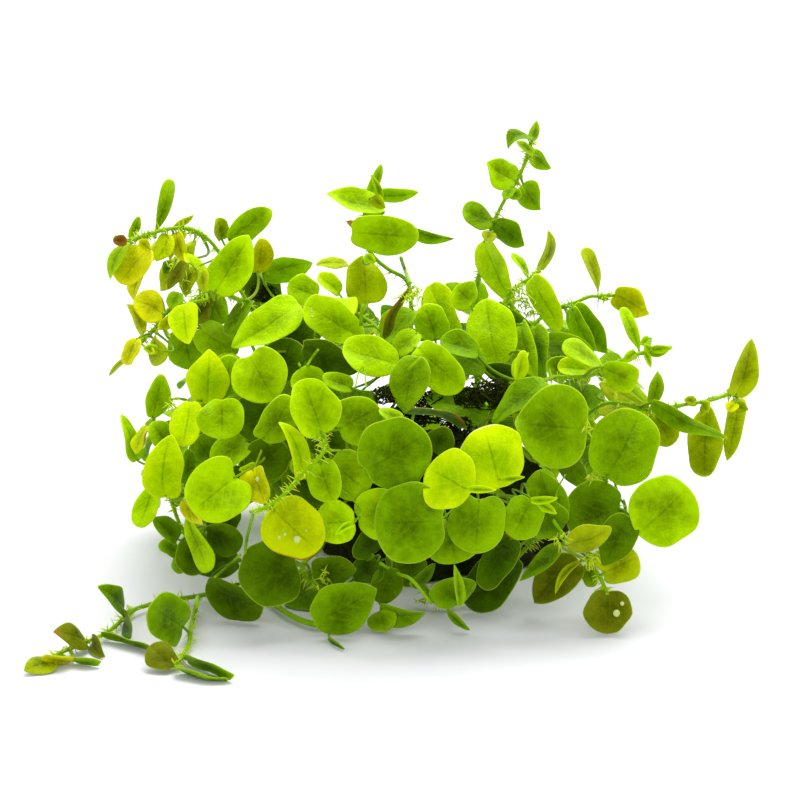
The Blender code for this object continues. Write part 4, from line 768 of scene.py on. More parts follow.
def back_blades(taken: np.ndarray) -> list:
    """Leaves of the far side: they face outward, set round the heap by the golden angle.

    Args:
        taken: points that no leaf comes near to.

    Returns:
        Their blades, drawn in towards the heap's middle where they would show from the front.
    """
    random = np.random.default_rng(11)
    golden = math.pi * (3 - math.sqrt(5))
    blades = []
    for name, (low, high) in BACK_SHOOTS.items():
        count = 0
        for step in range(BACK_TRIES):
            if count == BACK_LEAVES:
                break
            around = low + (high - low) * ((step * golden / math.pi) % 1.0)
            up = 0.04 + 0.86 * ((step * 0.7548) % 1.0)
            level = math.sqrt(1 - up * up)
            out = np.array((level * math.cos(around), level * math.sin(around), up))
            centre = HEAP_MIDDLE + out * HEAP_HALF * (0.93 - 0.1 * random.random())
            centre[2] = max(centre[2], 4 * MM)
            swing = random.uniform(-1.1, 1.1)
            wide = BACK_WIDE * random.uniform(0.8, 1.2)
            along = leaning(out, 0.0, swing, 0.35)
            leaf = Leaf((0, 0), (0, 0), wide, turn=random.uniform(-25, 25))
            blade = outward_blade(leaf, centre, out, along, name)
            cloud = blade.cloud()
            if cloud[:, 2].min() < LEAST_HEIGHT or near_any(cloud, taken, 2.0 * MM):
                continue
            taken = np.vstack((taken, cloud))
            blades.append(blade)
            count += 1
    for blade in blades:
        middle = (blade.base[0] + blade.tip[0]) / 2
        draw_in = (np.clip(middle, *BACK_RANGE) - middle) * RIGHT
        blade.base, blade.tip = blade.base + draw_in, blade.tip + draw_in
    return blades


def leaning(out: np.ndarray, tilt: float, swing: float, lift: float) -> np.ndarray:
    """The way that a leaf points which hangs on the heap's outer form.

    Args:
        out: the way out of the heap.
        tilt: how far to the side the way down is taken, as a share.
        swing: the leaf's angle from the way down.
        lift: how far it stands off, as a share.

    Returns:
        The direction from its base to its tip.
    """
    drop = unit(np.cross(np.cross(out, (tilt, 0.0, -1.0)), out))
    return unit(drop * math.cos(swing) + np.cross(out, drop) * math.sin(swing) + lift * out)


def outward_blade(leaf: Leaf, centre: np.ndarray, out: np.ndarray, along: np.ndarray, shoot: str) -> Blade:
    """The blade of a leaf that faces out of the heap, about as long as it is wide."""
    half = along * leaf.wide * 0.52 * MM
    return Blade(leaf, centre - half, centre + half, out, shoot)


def back_route(low: float, high: float) -> np.ndarray:
    """A stem that comes out of the tangle's far side and climbs inside the leaves.

    Args:
        low: the angle round the heap where it begins.
        high: the angle where it ends.

    Returns:
        Its route.
    """
    shares = np.linspace(0, 1, 7)
    around = low + (high - low) * shares
    up = 0.08 + 0.80 * shares
    level = np.sqrt(1 - up * up)
    way = np.stack((level * np.cos(around), level * np.sin(around), up), axis=-1)
    return HEAP_MIDDLE + way * HEAP_HALF * (0.62 + 0.16 * np.sin(math.pi * shares))[:, None]


def shoot_stems(name: str, step: float, grow: float) -> list:
    """A shoot's stems as smooth curves.

    Args:
        name: the shoot's name.
        step: about how far apart the curves' points are.
        grow: how much larger than the tangle the room is that the main stem comes out of.

    Returns:
        The points of each stem.
    """
    if name in SHOOTS:
        routes = [route_points(SHOOTS[name], route) for route in SHOOTS[name].routes]
    else:
        routes = [back_route(*BACK_SHOOTS[name])]
    curves = [smooth_path(route, step) for route in routes]
    return [outside_tangle(curves[0], grow)] + curves[1:]


class Plan:
    """Where every leaf and stem of the clump stands, and what shows foremost in the picture."""

    def __init__(self) -> None:
        """Sets out the leaves and the stems."""
        self.names = tuple(SHOOTS) + tuple(BACK_SHOOTS)
        coarse = {name: shoot_stems(name, STEM_STEP, STEM_RADIUS + GAP) for name in self.names}
        self.blades = place_blades()
        settle(self.blades, [line_points(path, 0.8 * MM) for name in SHOOTS for path in coarse[name]])
        stems = [line_points(path, MM) for paths in coarse.values() for path in paths]
        self.blades += back_blades(np.vstack([blade.cloud() for blade in self.blades] + stems))
        fine = [path for name in self.names for path in shoot_stems(name, FINE_STEP, STEM_START)]
        self.stems = np.vstack([line_points(path, 0.7 * MM) for path in fine])
        grid = leaf_grid(25, 21)
        self.surface = np.vstack([blade.points(*grid).reshape(-1, 3) for blade in self.blades])
        self.near_depth, _ = depth_range(self.surface)


def linear(code: str) -> np.ndarray:
    """An sRGB hex colour as linear red, green, blue and 1."""
    parts = [int(code[index : index + 2], 16) / 255 for index in (0, 2, 4)]
    return np.array([v / 12.92 if v <= 0.04045 else ((v + 0.055) / 1.055) ** 2.4 for v in parts] + [1.0])


def fill(target: bpy.types.Node, inputs: dict) -> None:
    """Sets a node's inputs.

    Args:
        target: the node.
        inputs: what goes into each input, by number or name: a value, or another node's output.
    """
    for key, value in inputs.items():
        if isinstance(value, bpy.types.NodeSocket):
            target.id_data.links.new(value, target.inputs[key])
        else:
            target.inputs[key].default_value = value


def node(tree: bpy.types.NodeTree, kind: str, inputs: dict, output: int | str = 0,
         **settings: str) -> bpy.types.NodeSocket:
    """Adds a node.

    Args:
        tree: the material's node tree.
        kind: the node's type, without the words that all types begin with.
        inputs: what goes into its inputs, as fill takes it.
        output: the number or name of the output that is wanted.
        settings: its properties.

    Returns:
        The output.
    """
    made = tree.nodes.new("ShaderNode" + kind)
    for key, value in settings.items():
        setattr(made, key, value)
    fill(made, inputs)
    return made.outputs[output]


def new_material(title: str) -> tuple:
    """A new material, its node tree and its shader."""
    made = bpy.data.materials.new(title)
    made.use_nodes = True
    return made, made.node_tree, made.node_tree.nodes["Principled BSDF"]


@dataclass(frozen=True)
class LeafFinish:
    """A living leaf: a waxy skin over green flesh that lets some light through.

    The skin gives a soft gloss that takes on the leaf's colour, the flesh a glow where light falls
    on the other side. The colour is painted lighter from the heart out to the rim and in broad
    patches, as painted light through the thin blade and painted highlight, and the fine mottle is
    partly the leaf's own and partly painted highlight. A paler rim and edge are painted rim light.
    The net of veins holds less green and shows paler, and the midrib lies in a groove with painted
    shade. A blemish is yellow where it turned, then brown, then straw where it withered.
    """

    title: str = "waxy living leaf"
    # Painted shade: the groove's colour darkens the midrib's groove.
    groove_shade: str = "2A3C00"
    # Painted rim light: the edge's colour is the pale line at the leaf's rim.
    edge: str = "C9E63C"
    stalk: str = "8DB81E"
    blemishes: tuple = (("turned", "C6C414"), ("stain", "96621A"), ("withered", "E3DFA8"))
    glow: float = 0.22
    roughness: float = 0.40
    cell: float = 1.1
    vein_space: float = 1.3
    vein_slant: float = -0.85

    def material(self) -> bpy.types.Material:
        """Makes the finish's nodes.

        Returns:
            The material. It reads the leaf's own attributes.
        """
        made, tree, shader = new_material(self.title)
        marks = {name: node(tree, "Attribute", {}, "Fac", attribute_name=name) for name in LEAF_MARKS}
        body, light = (node(tree, "Attribute", {}, "Color", attribute_name=name) for name in LEAF_COLOURS)
        reach = marks["reach"]
        place = node(tree, "TexCoord", {}, "Object")
        fine = {"Vector": place, "Scale": 420.0, "Detail": 4.0, "Roughness": 0.65}
        mottle = node(tree, "TexNoise", fine, "Fac")
        patch = node(tree, "TexNoise", {"Vector": place, "Scale": 110.0, "Detail": 2.0}, "Fac")
        cells = {"Vector": place, "Scale": 1 / (self.cell * MM)}
        net = node(tree, "TexVoronoi", cells, "Distance", feature="DISTANCE_TO_EDGE")
        net = node(tree, "MapRange", {"Value": net, "From Min": 0.14, "From Max": 0.0})
        groove_shade, veins = self.veins(tree, marks, mottle)
        # Painted light: the colour grows lighter from the leaf's heart to its rim and in broad patches; the
        # fine mottle is partly the leaf's own and partly painted highlight.
        share = node(tree, "MapRange", {"Value": reach, "From Min": 0.25, "To Min": -1.46, "To Max": -0.66})
        for pattern, weight in ((patch, 1.7), (mottle, 1.5), (net, 0.16)):
            share = node(tree, "Math", {0: pattern, 1: weight, 2: share}, operation="MULTIPLY_ADD")
        layers = [
            (node(tree, "Clamp", {0: share}), light),
            # Painted shade in the midrib's groove.
            (node(tree, "Math", {0: groove_shade, 1: 0.32}, operation="MULTIPLY"), linear(self.groove_shade)),
            (node(tree, "Math", {0: veins, 1: 0.26}, operation="MULTIPLY"), light),
            # Painted rim light: the rim grows lighter, and the thin edge paler still.
            (node(tree, "MapRange", {"Value": reach, "From Min": 0.94, "From Max": 0.98}), light),
            (node(tree, "MapRange", {"Value": reach, "From Min": 0.965, "From Max": 0.995, "To Max": 0.45}),
             linear(self.edge)),
            (marks["stalk"], linear(self.stalk)),
        ]
        for kind, tint in self.blemishes:
            amount = node(tree, "Math", {0: mottle, 1: 0.35, 2: marks[kind]}, operation="MULTIPLY_ADD")
            amount = node(tree, "MapRange", {"Value": amount, "From Min": 0.45, "From Max": 0.95})
            layers.append((amount, linear(tint)))
        colour = body
        for amount, tint in layers:
            colour = node(tree, "Mix", {0: amount, 6: colour, 7: tint}, 2, data_type="RGBA")
        rough = {"Value": mottle, "To Min": self.roughness - 0.10, "To Max": self.roughness + 0.12}
        height = node(tree, "Math", {0: net, 1: -0.5, 2: mottle}, operation="MULTIPLY_ADD")
        height = node(tree, "Math", {0: veins, 1: -0.3, 2: height}, operation="MULTIPLY_ADD")
        fill(shader, {
            "Base Color": colour,
            "Roughness": node(tree, "MapRange", rough),
            "Normal": node(tree, "Bump", {"Height": height, "Strength": 0.6, "Distance": 0.20 * MM}),
            "IOR": 1.42,
            "Specular IOR Level": 0.14,
            "Specular Tint": (0.80, 1.0, 0.06, 1.0),
            "Subsurface Weight": self.glow,
            "Subsurface Radius": (0.9, 1.0, 0.05),
            "Subsurface Scale": 0.8 * MM,
        })
        return made

    def veins(self, tree: bpy.types.NodeTree, marks: dict, mottle: bpy.types.NodeSocket) -> tuple:
        """How much a place is of the midrib's groove, which takes painted shade, and of a side vein that
        leaves it forward.

        A side vein lies where the length along the leaf less 0.85 times the distance from the
        midrib to the power of 1.25 is a whole number of spacings. Lengths are in millimetres.

        Args:
            tree: the material's node tree.
            marks: the leaf's attributes.
            mottle: the noise that makes the veins uneven.

        Returns:
            The shares of the groove, for its painted shade, and of the side veins.
        """
        wide = node(tree, "Math", {0: marks["across"]}, operation="ABSOLUTE")
        bend = node(tree, "Math", {0: wide, 1: 1.25}, operation="POWER")
        slant = {0: bend, 1: self.vein_slant, 2: marks["along"]}
        slant = node(tree, "Math", slant, operation="MULTIPLY_ADD")
        slant = node(tree, "Math", {0: mottle, 1: 3.0, 2: slant}, operation="MULTIPLY_ADD")
        wave = node(tree, "Math", {0: slant, 1: self.vein_space}, operation="PINGPONG")
        shares = []
        for value, wide_at, none_at, fades_at in ((wide, 0.08, 0.34, 0.4), (wave, 0.0, 0.45, 0.5)):
            share = node(tree, "MapRange", {"Value": value, "From Min": none_at, "From Max": wide_at})
            fade = node(tree, "MapRange", {"Value": marks["reach"], "From Min": 0.95, "From Max": fades_at})
            shares.append(node(tree, "Math", {0: share, 1: fade}, operation="MULTIPLY"))
        return tuple(shares)


@dataclass(frozen=True)
class StemFinish:
    """A green stem, rootlet or root: fine lengthwise streaks on a thin moist skin."""

    title: str
    skin: str
    streak: str
    tip: str
    roughness: float = 0.45
    glow: float = 0.15
    gloss: float = 0.25

    def material(self) -> bpy.types.Material:
        """Makes the finish's nodes.

        Returns:
            The material. It reads the piece's own attributes.
        """
        made, tree, shader = new_material(self.title)
        seed, tipward = (node(tree, "Attribute", {}, "Fac", attribute_name=name) for name in STEM_MARKS)
        place = node(tree, "TexCoord", {}, "Object")
        noise = node(tree, "TexNoise", {"Vector": place, "Scale": 700.0, "Detail": 3.0}, "Fac")
        share = node(tree, "Math", {0: noise, 1: 0.8, 2: seed}, operation="MULTIPLY_ADD")
        share = node(tree, "MapRange", {"Value": share, "From Min": 0.3, "From Max": 1.4})
        streaks = {0: share, 6: linear(self.skin), 7: linear(self.streak)}
        tips = {0: tipward, 6: node(tree, "Mix", streaks, 2, data_type="RGBA"), 7: linear(self.tip)}
        fill(shader, {
            "Base Color": node(tree, "Mix", tips, 2, data_type="RGBA"),
            "Normal": node(tree, "Bump", {"Height": noise, "Strength": 0.3, "Distance": 0.1 * MM}),
            "Roughness": self.roughness,
            "IOR": 1.42,
            "Specular IOR Level": self.gloss,
            "Specular Tint": (0.8, 1.0, 0.2, 1.0),
            "Subsurface Weight": self.glow,
            "Subsurface Radius": (0.9, 1.0, 0.1),
            "Subsurface Scale": 0.5 * MM,
        })
        return made


@dataclass(frozen=True)
class PlainFinish:
    """A finish of one colour."""

    title: str
    colour: str
    roughness: float
    ior: float = 1.5
    clear: float = 0.0

    def material(self) -> bpy.types.Material:
        """Sets the shader.

        Returns:
            The material.
        """
        made, _, shader = new_material(self.title)
        fill(shader, {
            "Base Color": linear(self.colour),
            "Roughness": self.roughness,
            "IOR": self.ior,
            "Transmission Weight": self.clear,
        })
        return made


# Young green stems and rootlets are moist and let some light through. Old roots are near black, partly
# their own colour and partly painted shade of the heap's inside.
# Water beads on the leaves are pale green, a painted highlight for the light that they gather. The floor is
# matt paper.
STEM_FINISH = StemFinish("green stem skin", "74A400", "9ECC06", "B8DC10")
ROOTLET_FINISH = StemFinish("young rootlet", "A0C800", "C0E014", "D8E448", 0.5, 0.3)
ROOT_FINISH = StemFinish("old dark root", "141A02", "343C06", "5A6014", 0.55, 0.0, 0.10)
WATER_FINISH = PlainFinish("water drop", "DDEB8C", 0.03, 1.333, 0.25)
FLOOR_FINISH = PlainFinish("pale paper", "E4E4E8", 0.6)


class Skin:
    """Closed surfaces collected into one mesh, with numbers and colours kept at their points."""

    def __init__(self, marks: tuple, colours: tuple = ()) -> None:
        """Starts with no points.

        Args:
            marks: the names of the numbers that they get.
            colours: the names of their colours.
        """
        self.marks: dict = {name: [] for name in marks}
        self.colours: dict = {name: [] for name in colours}
        self.points: list = []
        self.quads: list = []
        self.tris: list = []
        self.count = 0

    def add(self, rings: np.ndarray, ends: np.ndarray, marks: dict, colours: dict | None = None) -> None:
        """Adds bodies made of closed rings between two end points.

        Args:
            rings: points, as (bodies, rings, points to a ring, 3).
            ends: the two end points of each body, as (bodies, 2, 3).
            marks: for each name, the rings' numbers, and the ends' numbers, as a pair.
            colours: for each name, the one colour that all these bodies have.
        """
        bodies, count, sides = rings.shape[:3]
        each = count * sides + 2
        points = np.concatenate((rings.reshape(bodies, -1, 3), ends), axis=1)
        side = np.arange(sides)
        after = (side + 1) % sides
        low = (np.arange(count - 1) * sides)[:, None]
        quads = np.stack((low + side, low + after, low + sides + after, low + sides + side), axis=-1)
        quads = quads.reshape(-1, 4)
        top = (count - 1) * sides
        first = np.stack((after, side, np.full(sides, each - 2)), axis=-1)
        last = np.stack((top + side, top + after, np.full(sides, each - 1)), axis=-1)
        tris = np.vstack((first, last))
        base = self.count + each * np.arange(bodies)[:, None, None]
        inward = (self.volume(points, quads, tris) < 0)[:, None, None]
        for kept, faces in ((self.quads, quads), (self.tris, tris)):
            outward = np.where(inward, faces[None, :, ::-1], faces[None]) + base
            kept.append(outward.reshape(-1, faces.shape[1]))
        self.points.append(points.reshape(-1, 3))
        for name, kept in self.marks.items():
            on_rings, on_ends = marks.get(name, (0.0, 0.0))
            on_rings = np.broadcast_to(on_rings, (bodies, count, sides)).reshape(bodies, -1)
            on_ends = np.broadcast_to(on_ends, (bodies, 2))
            kept.append(np.concatenate((on_rings, on_ends), axis=1).ravel())
        for name, kept in self.colours.items():
            kept.append(np.tile(np.array(colours[name], np.float32), (bodies * each, 1)))
        self.count += each * bodies

    @staticmethod
    def volume(points: np.ndarray, quads: np.ndarray, tris: np.ndarray) -> np.ndarray:
        """Each body's volume: the sum of the corner products of its triangles, over six."""
        faces = np.vstack((quads[:, :3], quads[:, [0, 2, 3]], tris))
        corners = (points - points.mean(axis=1, keepdims=True))[:, faces]
        return np.einsum("bfi,bfi->b", corners[:, :, 0], np.cross(corners[:, :, 1], corners[:, :, 2])) / 6

    def build(self, name: str, material: bpy.types.Material) -> bpy.types.Object:
        """Makes the mesh, shaded smooth, with its numbers and colours as attributes.

        Args:
            name: the piece's name.
            material: its material.

        Returns:
            The object, at the origin.
        """
        points, quads, tris = (np.concatenate(kept) for kept in (self.points, self.quads, self.tris))
        points[:, 2] = np.maximum(points[:, 2], 0.0)
        mesh = bpy.data.meshes.new(name)
        mesh.vertices.add(len(points))
        mesh.vertices.foreach_set("co", points.ravel())
        mesh.loops.add(quads.size + tris.size)
        mesh.loops.foreach_set("vertex_index", np.concatenate((quads.ravel(), tris.ravel())))
        mesh.polygons.add(len(quads) + len(tris))
        starts = np.concatenate((4 * np.arange(len(quads)), quads.size + 3 * np.arange(len(tris))))
        mesh.polygons.foreach_set("loop_start", starts)
        mesh.update(calc_edges=True)
        mesh.validate()
        mesh.shade_smooth()
        for kept, kind, field in ((self.marks, "FLOAT", "value"), (self.colours, "FLOAT_COLOR", "color")):
            for mark, values in kept.items():
                layer = mesh.attributes.new(mark, kind, "POINT")
                layer.data.foreach_set(field, np.concatenate(values).astype(np.float32).ravel())
        mesh.materials.append(material)
        return placed(name, mesh)


def placed(name: str, data: bpy.types.ID) -> bpy.types.Object:
    """A new object with this data in the scene, at the origin."""
    made = bpy.data.objects.new(name, data)
    bpy.context.collection.objects.link(made)
    return made


def stand_in(piece: bpy.types.Object, solid: str) -> bpy.types.Object:
    """Hides the solid that a piece stands for, and gives the piece back."""
    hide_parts(solid)
    return piece


def circle(count: int) -> np.ndarray:
    """Angles all the way round."""
    return FULL * np.arange(count) / count


def tube_rings(paths: np.ndarray, radii: np.ndarray, sides: int) -> np.ndarray:
    """Rings of round tubes along paths.

    Each ring is its path's point plus the radius times cos and sin of an angle on two directions
    square to the path. The first is square to the direction in which the path bends least.

    Args:
        paths: points, as (tubes, points, 3).
        radii: the radius at each point, as (tubes, points).
        sides: how many points go round.

    Returns:
        The rings' points, as (tubes, points, sides, 3).
    """
    ways = unit(np.gradient(paths, axis=1))
    least = np.linalg.svd(paths - paths.mean(axis=1, keepdims=True), full_matrices=False)[2][:, 2]
    first = unit(np.cross(ways, least[:, None] + 1e-4))
    second = np.cross(ways, first)
    angles = circle(sides)[:, None]
    turn = np.cos(angles) * first[:, :, None] + np.sin(angles) * second[:, :, None]
    return paths[:, :, None] + radii[:, :, None, None] * turn


def add_tubes(skin: Skin, paths: np.ndarray, radii: np.ndarray, sides: int, marks: dict,
              colours: dict | None = None) -> None:
    """Adds round tubes to a skin: the first three say what tube_rings makes, the rest what it gets."""
    skin.add(tube_rings(paths, radii, sides), paths[:, [0, -1]], marks, colours)


class Detail(Enum):
    """How finely a leaf is meshed: the shares of its reach where its rings stand, and its spokes."""

    LARGE = ((0.16, 0.34, 0.50, 0.64, 0.76, 0.86, 0.93, 0.972, 1.0), 48)
    SMALL = ((0.22, 0.46, 0.68, 0.85, 0.95, 1.0), 34)
    HIDDEN = ((0.35, 0.70, 0.93, 1.0), 20)


@dataclass
class LeafBody:
    """A leaf's fine form on its blade, with its stalk from the stem.

    Its rim is an egg blunter at the base, with two lobes that reach back beside the stalk. Its
    surface is a rounded fold along the midrib, plus a bow, a cup, a twist, two crossing waves and
    a wave along the rim.
    """

    blade: Blade
    root: np.ndarray
    detail: Detail
    random: np.random.Generator
    half_thick: float = 0.16 * MM
    stalk_radius: float = 0.40 * MM
    heart_at: float = 0.46
    rim_waves: tuple = (0.032, 0.026, 0.020, 0.013, 0.009, 0.007)

    def __post_init__(self) -> None:
        """Draws the numbers that make this leaf unlike the next."""
        draw = self.random
        self.half = self.blade.leaf.wide * self.blade.leaf.slim * MM / 2
        self.lobes = draw.uniform(0.8, 1.2)
        self.cup = draw.uniform(-0.24, 0.16)
        self.wave = draw.uniform(0.04, 0.12)
        self.waves = int(draw.integers(2, 5))
        self.phase = draw.uniform(0, FULL)
        self.twist = math.radians(draw.uniform(-24, 24))
        self.swells = draw.uniform(0.25, 0.55, 2)
        self.swell_phase = draw.uniform(0, FULL, 2)
        self.jitter = draw.uniform(0.93, 1.07)
        self.uneven = draw.normal(0, 1, (2, 6)) * np.array(self.rim_waves)

    def arch(self, share: float, t: np.ndarray) -> np.ndarray:
        """An arch of 4t(1-t) from the leaf's base to its tip, as high as a share of its length."""
        return share * self.blade.frame()[0] * 4 * t * (1 - t)

    def rim(self, angle: np.ndarray) -> tuple:
        """The leaf's outline.

        Args:
            angle: the way out from the leaf's heart, 0 at the tip.

        Returns:
            How far along and across the leaf its rim lies there.
        """
        length = self.blade.frame()[0]
        form = self.blade.leaf.form.value
        back = np.abs((angle + math.pi) % FULL - math.pi)
        lobes = (0.5 - 0.5 * np.cos(angle)) ** 2
        if form.notch:
            lobes = lobes * (1 - np.exp(-(((math.pi - back) / form.notch) ** 2)))
        turns = np.arange(2, 8) * angle[..., None]
        uneven = 1 + np.sum(self.uneven[0] * np.sin(turns) + self.uneven[1] * (np.cos(turns) - 1), axis=-1)
        narrow = np.abs(np.sin(angle)) ** np.where(back < math.pi / 2, form.tip_power, form.base_power)
        along = length * (0.5 + 0.5 * np.cos(angle) - form.back * self.lobes * lobes)
        across = self.half * np.sign(np.sin(angle)) * narrow * (1.0 - form.egg * np.cos(angle)) * uneven
        return along, across + self.arch(self.blade.leaf.bend, along / length)

    def surface(self, reach: np.ndarray, angle: np.ndarray) -> tuple:
        """The leaf's middle surface.

        Args:
            reach: how far out from the leaf's heart, from 0 to 1 at its rim.
            angle: the way out, 0 at the tip.

        Returns:
            The points, and how far along the leaf and across from its midrib they lie.
        """
        length, ahead, normal, side = self.blade.frame()
        leaf, half = self.blade.leaf, self.half
        fold = math.radians(leaf.fold)
        rim_along, rim_across = self.rim(angle)
        heart, sway = self.heart_at * length, self.arch(leaf.bend, self.heart_at)
        along = heart + reach * (rim_along - heart)
        across = sway + reach * (rim_across - sway)
        t = np.clip(along / length, 0.0, 1.0)
        from_rib = across - self.arch(leaf.bend, t)
        w = from_rib / half
        lift = half * math.sin(fold) * (np.sqrt(w * w + 0.010) - 0.10)
        lift += self.arch(leaf.bow, t)
        lift += self.cup * half * w * w
        lift += self.wave * half * reach**3 * np.sin(self.waves * angle + self.phase)
        lift += from_rib * math.sin(self.twist) * (t - 0.5)
        swell = np.sin(self.swells[0] * across / MM + 0.5 * along / MM + self.swell_phase[0])
        swell += np.sin(self.swells[1] * along / MM - 0.35 * across / MM + self.swell_phase[1])
        lift += 0.030 * leaf.wide * MM * swell * np.minimum(1.0, 2 * t)
        lift -= 0.20 * MM * np.exp(-((from_rib / (0.42 * MM)) ** 2)) * np.clip(1.2 - 1.3 * t, 0, 1)
        out = across * math.cos(fold)
        spots = self.blade.base + along[..., None] * ahead + out[..., None] * side
        spots += lift[..., None] * normal
        spots[..., 2] = np.maximum(spots[..., 2], 0.35 * MM)
        return spots, along, from_rib

    def colours(self) -> dict:
        """The leaf's body and light colours, a little off its tone's."""
        scale = np.array((self.jitter, self.jitter, self.jitter, 1.0))
        return {name: linear(getattr(self.blade.leaf.tone.value, name)) * scale for name in LEAF_COLOURS}

    def blemishes(self, reach: np.ndarray, angle: np.ndarray) -> dict:
        """How much of each blemish the leaf has: near 1 at the rim, about the blemish's angle.

        Args:
            reach: the places, as surface takes them.
            angle: their ways out.

        Returns:
            The amounts for each kind, as Skin.add takes them.
        """
        marks = {kind: np.zeros_like(reach) for kind in BLEMISH_KINDS}
        for kind, where, spread, depth in BLEMISHES.get((self.blade.leaf.base, self.blade.leaf.tip), ()):
            off = (angle - math.radians(where) + math.pi) % FULL - math.pi
            near = np.exp(-((off / math.radians(spread)) ** 2))
            inward = np.clip((reach - 1 + depth) / depth, 0.0, 1.0)
            marks[kind] = np.maximum(marks[kind], near * inward)
        return {kind: (amount, 0.0) for kind, amount in marks.items()}

    def add_to(self, skin: Skin) -> None:
        """Adds the blade, as a thin closed shell, and its stalk.

        Args:
            skin: what they are added to.
        """
        shares, spokes = self.detail.value
        down = np.array(shares)
        reach = np.concatenate((down, down[-2::-1]))
        upper = np.concatenate((np.ones(len(down)), -np.ones(len(down) - 1)))
        thick = self.half_thick * upper * np.sqrt(np.maximum(0.0, 1 - reach**10))
        reach, angle = np.meshgrid(reach, circle(spokes), indexing="ij")
        spots, along, across = self.surface(reach, angle)
        middle, middle_along, _ = self.surface(np.zeros(2), np.zeros(2))
        normal = self.blade.frame()[2]
        rings = spots + thick[:, None, None] * normal
        ends = middle + np.array((1.0, -1.0))[:, None] * self.half_thick * normal
        marks = {"reach": (reach, 0.0), "along": (along / MM, middle_along / MM)}
        marks |= {"across": (across / MM, 0.0)} | self.blemishes(reach, angle)
        skin.add(rings[None], ends[None], marks, self.colours())
        self.add_stalk(skin)

    def add_stalk(self, skin: Skin) -> None:
        """Adds the stalk: a cubic that leaves the stem and comes into the leaf along its midrib.

        A long stalk bows into the heap.

        Args:
            skin: what it is added to.
        """
        length, ahead, normal, _ = self.blade.frame()
        end = self.blade.base + 0.05 * length * ahead - 0.1 * MM * normal
        span = np.linalg.norm(end - self.root)
        inward = max(0.0, span - 6 * MM) * 0.5 * unit(HEAP_MIDDLE + A_LITTLE_UP - self.blade.base)
        leave = self.root + 0.35 * (end - self.root) + inward
        arrive = end - 0.30 * span * ahead + inward
        t = np.linspace(0, 1, 9)[:, None]
        path = (
            (1 - t) ** 3 * self.root + 3 * t * (1 - t) ** 2 * leave
            + 3 * t * t * (1 - t) * arrive + t**3 * end
        )
        path[:, 2] = np.maximum(path[:, 2], 0.3 * MM)
        radii = self.stalk_radius * (1.15 - 0.5 * t[:, 0])
        add_tubes(skin, path[None], radii[None], 6, {"stalk": (0.6, 0.6)}, self.colours())

    def add_bead(self, skin: Skin, pixel: tuple, radius: float) -> None:
        """Adds a bead of water that lies on the leaf: a ball, flat below.

        Args:
            skin: what it is added to.
            pixel: where the picture shows it.
            radius: the ball's radius.
        """
        spots = self.surface(*np.meshgrid(np.linspace(0, 0.95, 30), circle(72)))[0].reshape(-1, 3)
        across, down, _ = seen(spots)
        place = spots[int(np.argmin(np.hypot(across - pixel[0], down - pixel[1])))]
        _, ahead, normal, side = self.blade.frame()
        out = -math.copysign(1.0, normal @ INTO) * normal
        place = place + (self.half_thick + 0.03 * MM) * out
        polar = np.linspace(0.2, math.pi - 0.2, 10)[:, None, None]
        around = circle(16)[:, None]
        flat = np.cos(around) * ahead + np.sin(around) * side
        up = np.cos(polar) * np.where(np.cos(polar) > 0, 0.6, 0.0)
        rings = place + radius * (np.sin(polar) * flat + up * out)
        ends = place + radius * np.array(((0.62,), (0.0,))) * out
        skin.add(rings[None], ends[None], {})


# The shoots with more rootlets than the rest, as a share.
ROOTLETY = {"front": 1.9, "trail": 1.3}

# The shoot whose far leaves come out of the tangle beside it.
HELD_INSIDE = "front"

# Beads of water on leaves, by the leaves' pixels: each bead's pixel, and its radius in millimetres.
DROPS = {
    ((272, 508), (319, 551)): (((297, 539), 0.85), ((285, 534), 0.36), ((279, 537), 0.40),
                               ((306, 531), 0.22)),
    ((252, 469), (267, 504)): (((258, 479), 0.60),),
    ((608, 591), (607, 634)): (((617, 613), 0.85), ((622, 604), 0.50)),
    ((364, 338), (306, 302)): (((311, 308), 0.24), ((311, 312), 0.24), ((312, 317), 0.30)),
}

# Blemishes of leaves, by their pixels: the kind, the angle round the leaf from its tip and how far
# it spreads, in degrees, and how deep it goes in from the rim as a share of the leaf.
BLEMISHES = {
    ((272, 508), (319, 551)): (("stain", 40, 50, 0.10), ("stain", 75, 25, 0.07)),
    ((466, 427), (404, 413)): (("turned", 80, 70, 0.35), ("stain", 150, 28, 0.45)),
    ((500, 488), (484, 427)): (("withered", -62, 20, 0.07), ("withered", 0, 25, 0.05)),
    ((246, 441), (212, 464)): (("withered", 110, 35, 0.09),),
    ((531, 500), (512, 538)): (("stain", 15, 22, 0.06),),
    ((260, 273), (313, 264)): (("withered", 10, 22, 0.12), ("stain", 20, 20, 0.08)),
    ((384, 338), (408, 287)): (("stain", -60, 70, 0.6), ("turned", 60, 60, 0.3)),
    ((408, 229), (454, 239)): (("stain", 0, 25, 0.5),),
    ((86, 642), (54, 632)): (("stain", 0, 40, 0.6), ("withered", 120, 40, 0.4)),
    ((146, 426), (136, 455)): (("stain", -100, 40, 0.6),),
    ((194, 240), (182, 268)): (("withered", 60, 90, 0.9),),
    ((163, 314), (134, 300)): (("turned", 60, 60, 0.6), ("stain", 140, 25, 0.3)),
    ((210, 300), (196, 325)): (("stain", 80, 50, 0.5),),
}


def taken_place(places: np.ndarray, blade: Blade) -> int:
    """Which place a leaf's stalk reaches soonest without a sharp bend."""
    span = np.linalg.norm(places - blade.base, axis=1)
    bend = (blade.base - places) @ blade.frame()[1] / np.maximum(span, 1e-6)
    return int(np.argmin(span + BEND_COST * (1 - bend) ** 2))


def tangle_point(base: np.ndarray) -> np.ndarray:
    """Where the straight way from a leaf to the middle of the tangle comes to the tangle."""
    way = TANGLE_MIDDLE + A_LITTLE_UP - base
    line = base + np.linspace(0, 1, 80)[:, None] * way
    return line[int(np.argmax(within_tangle(line, -2 * MM)))]


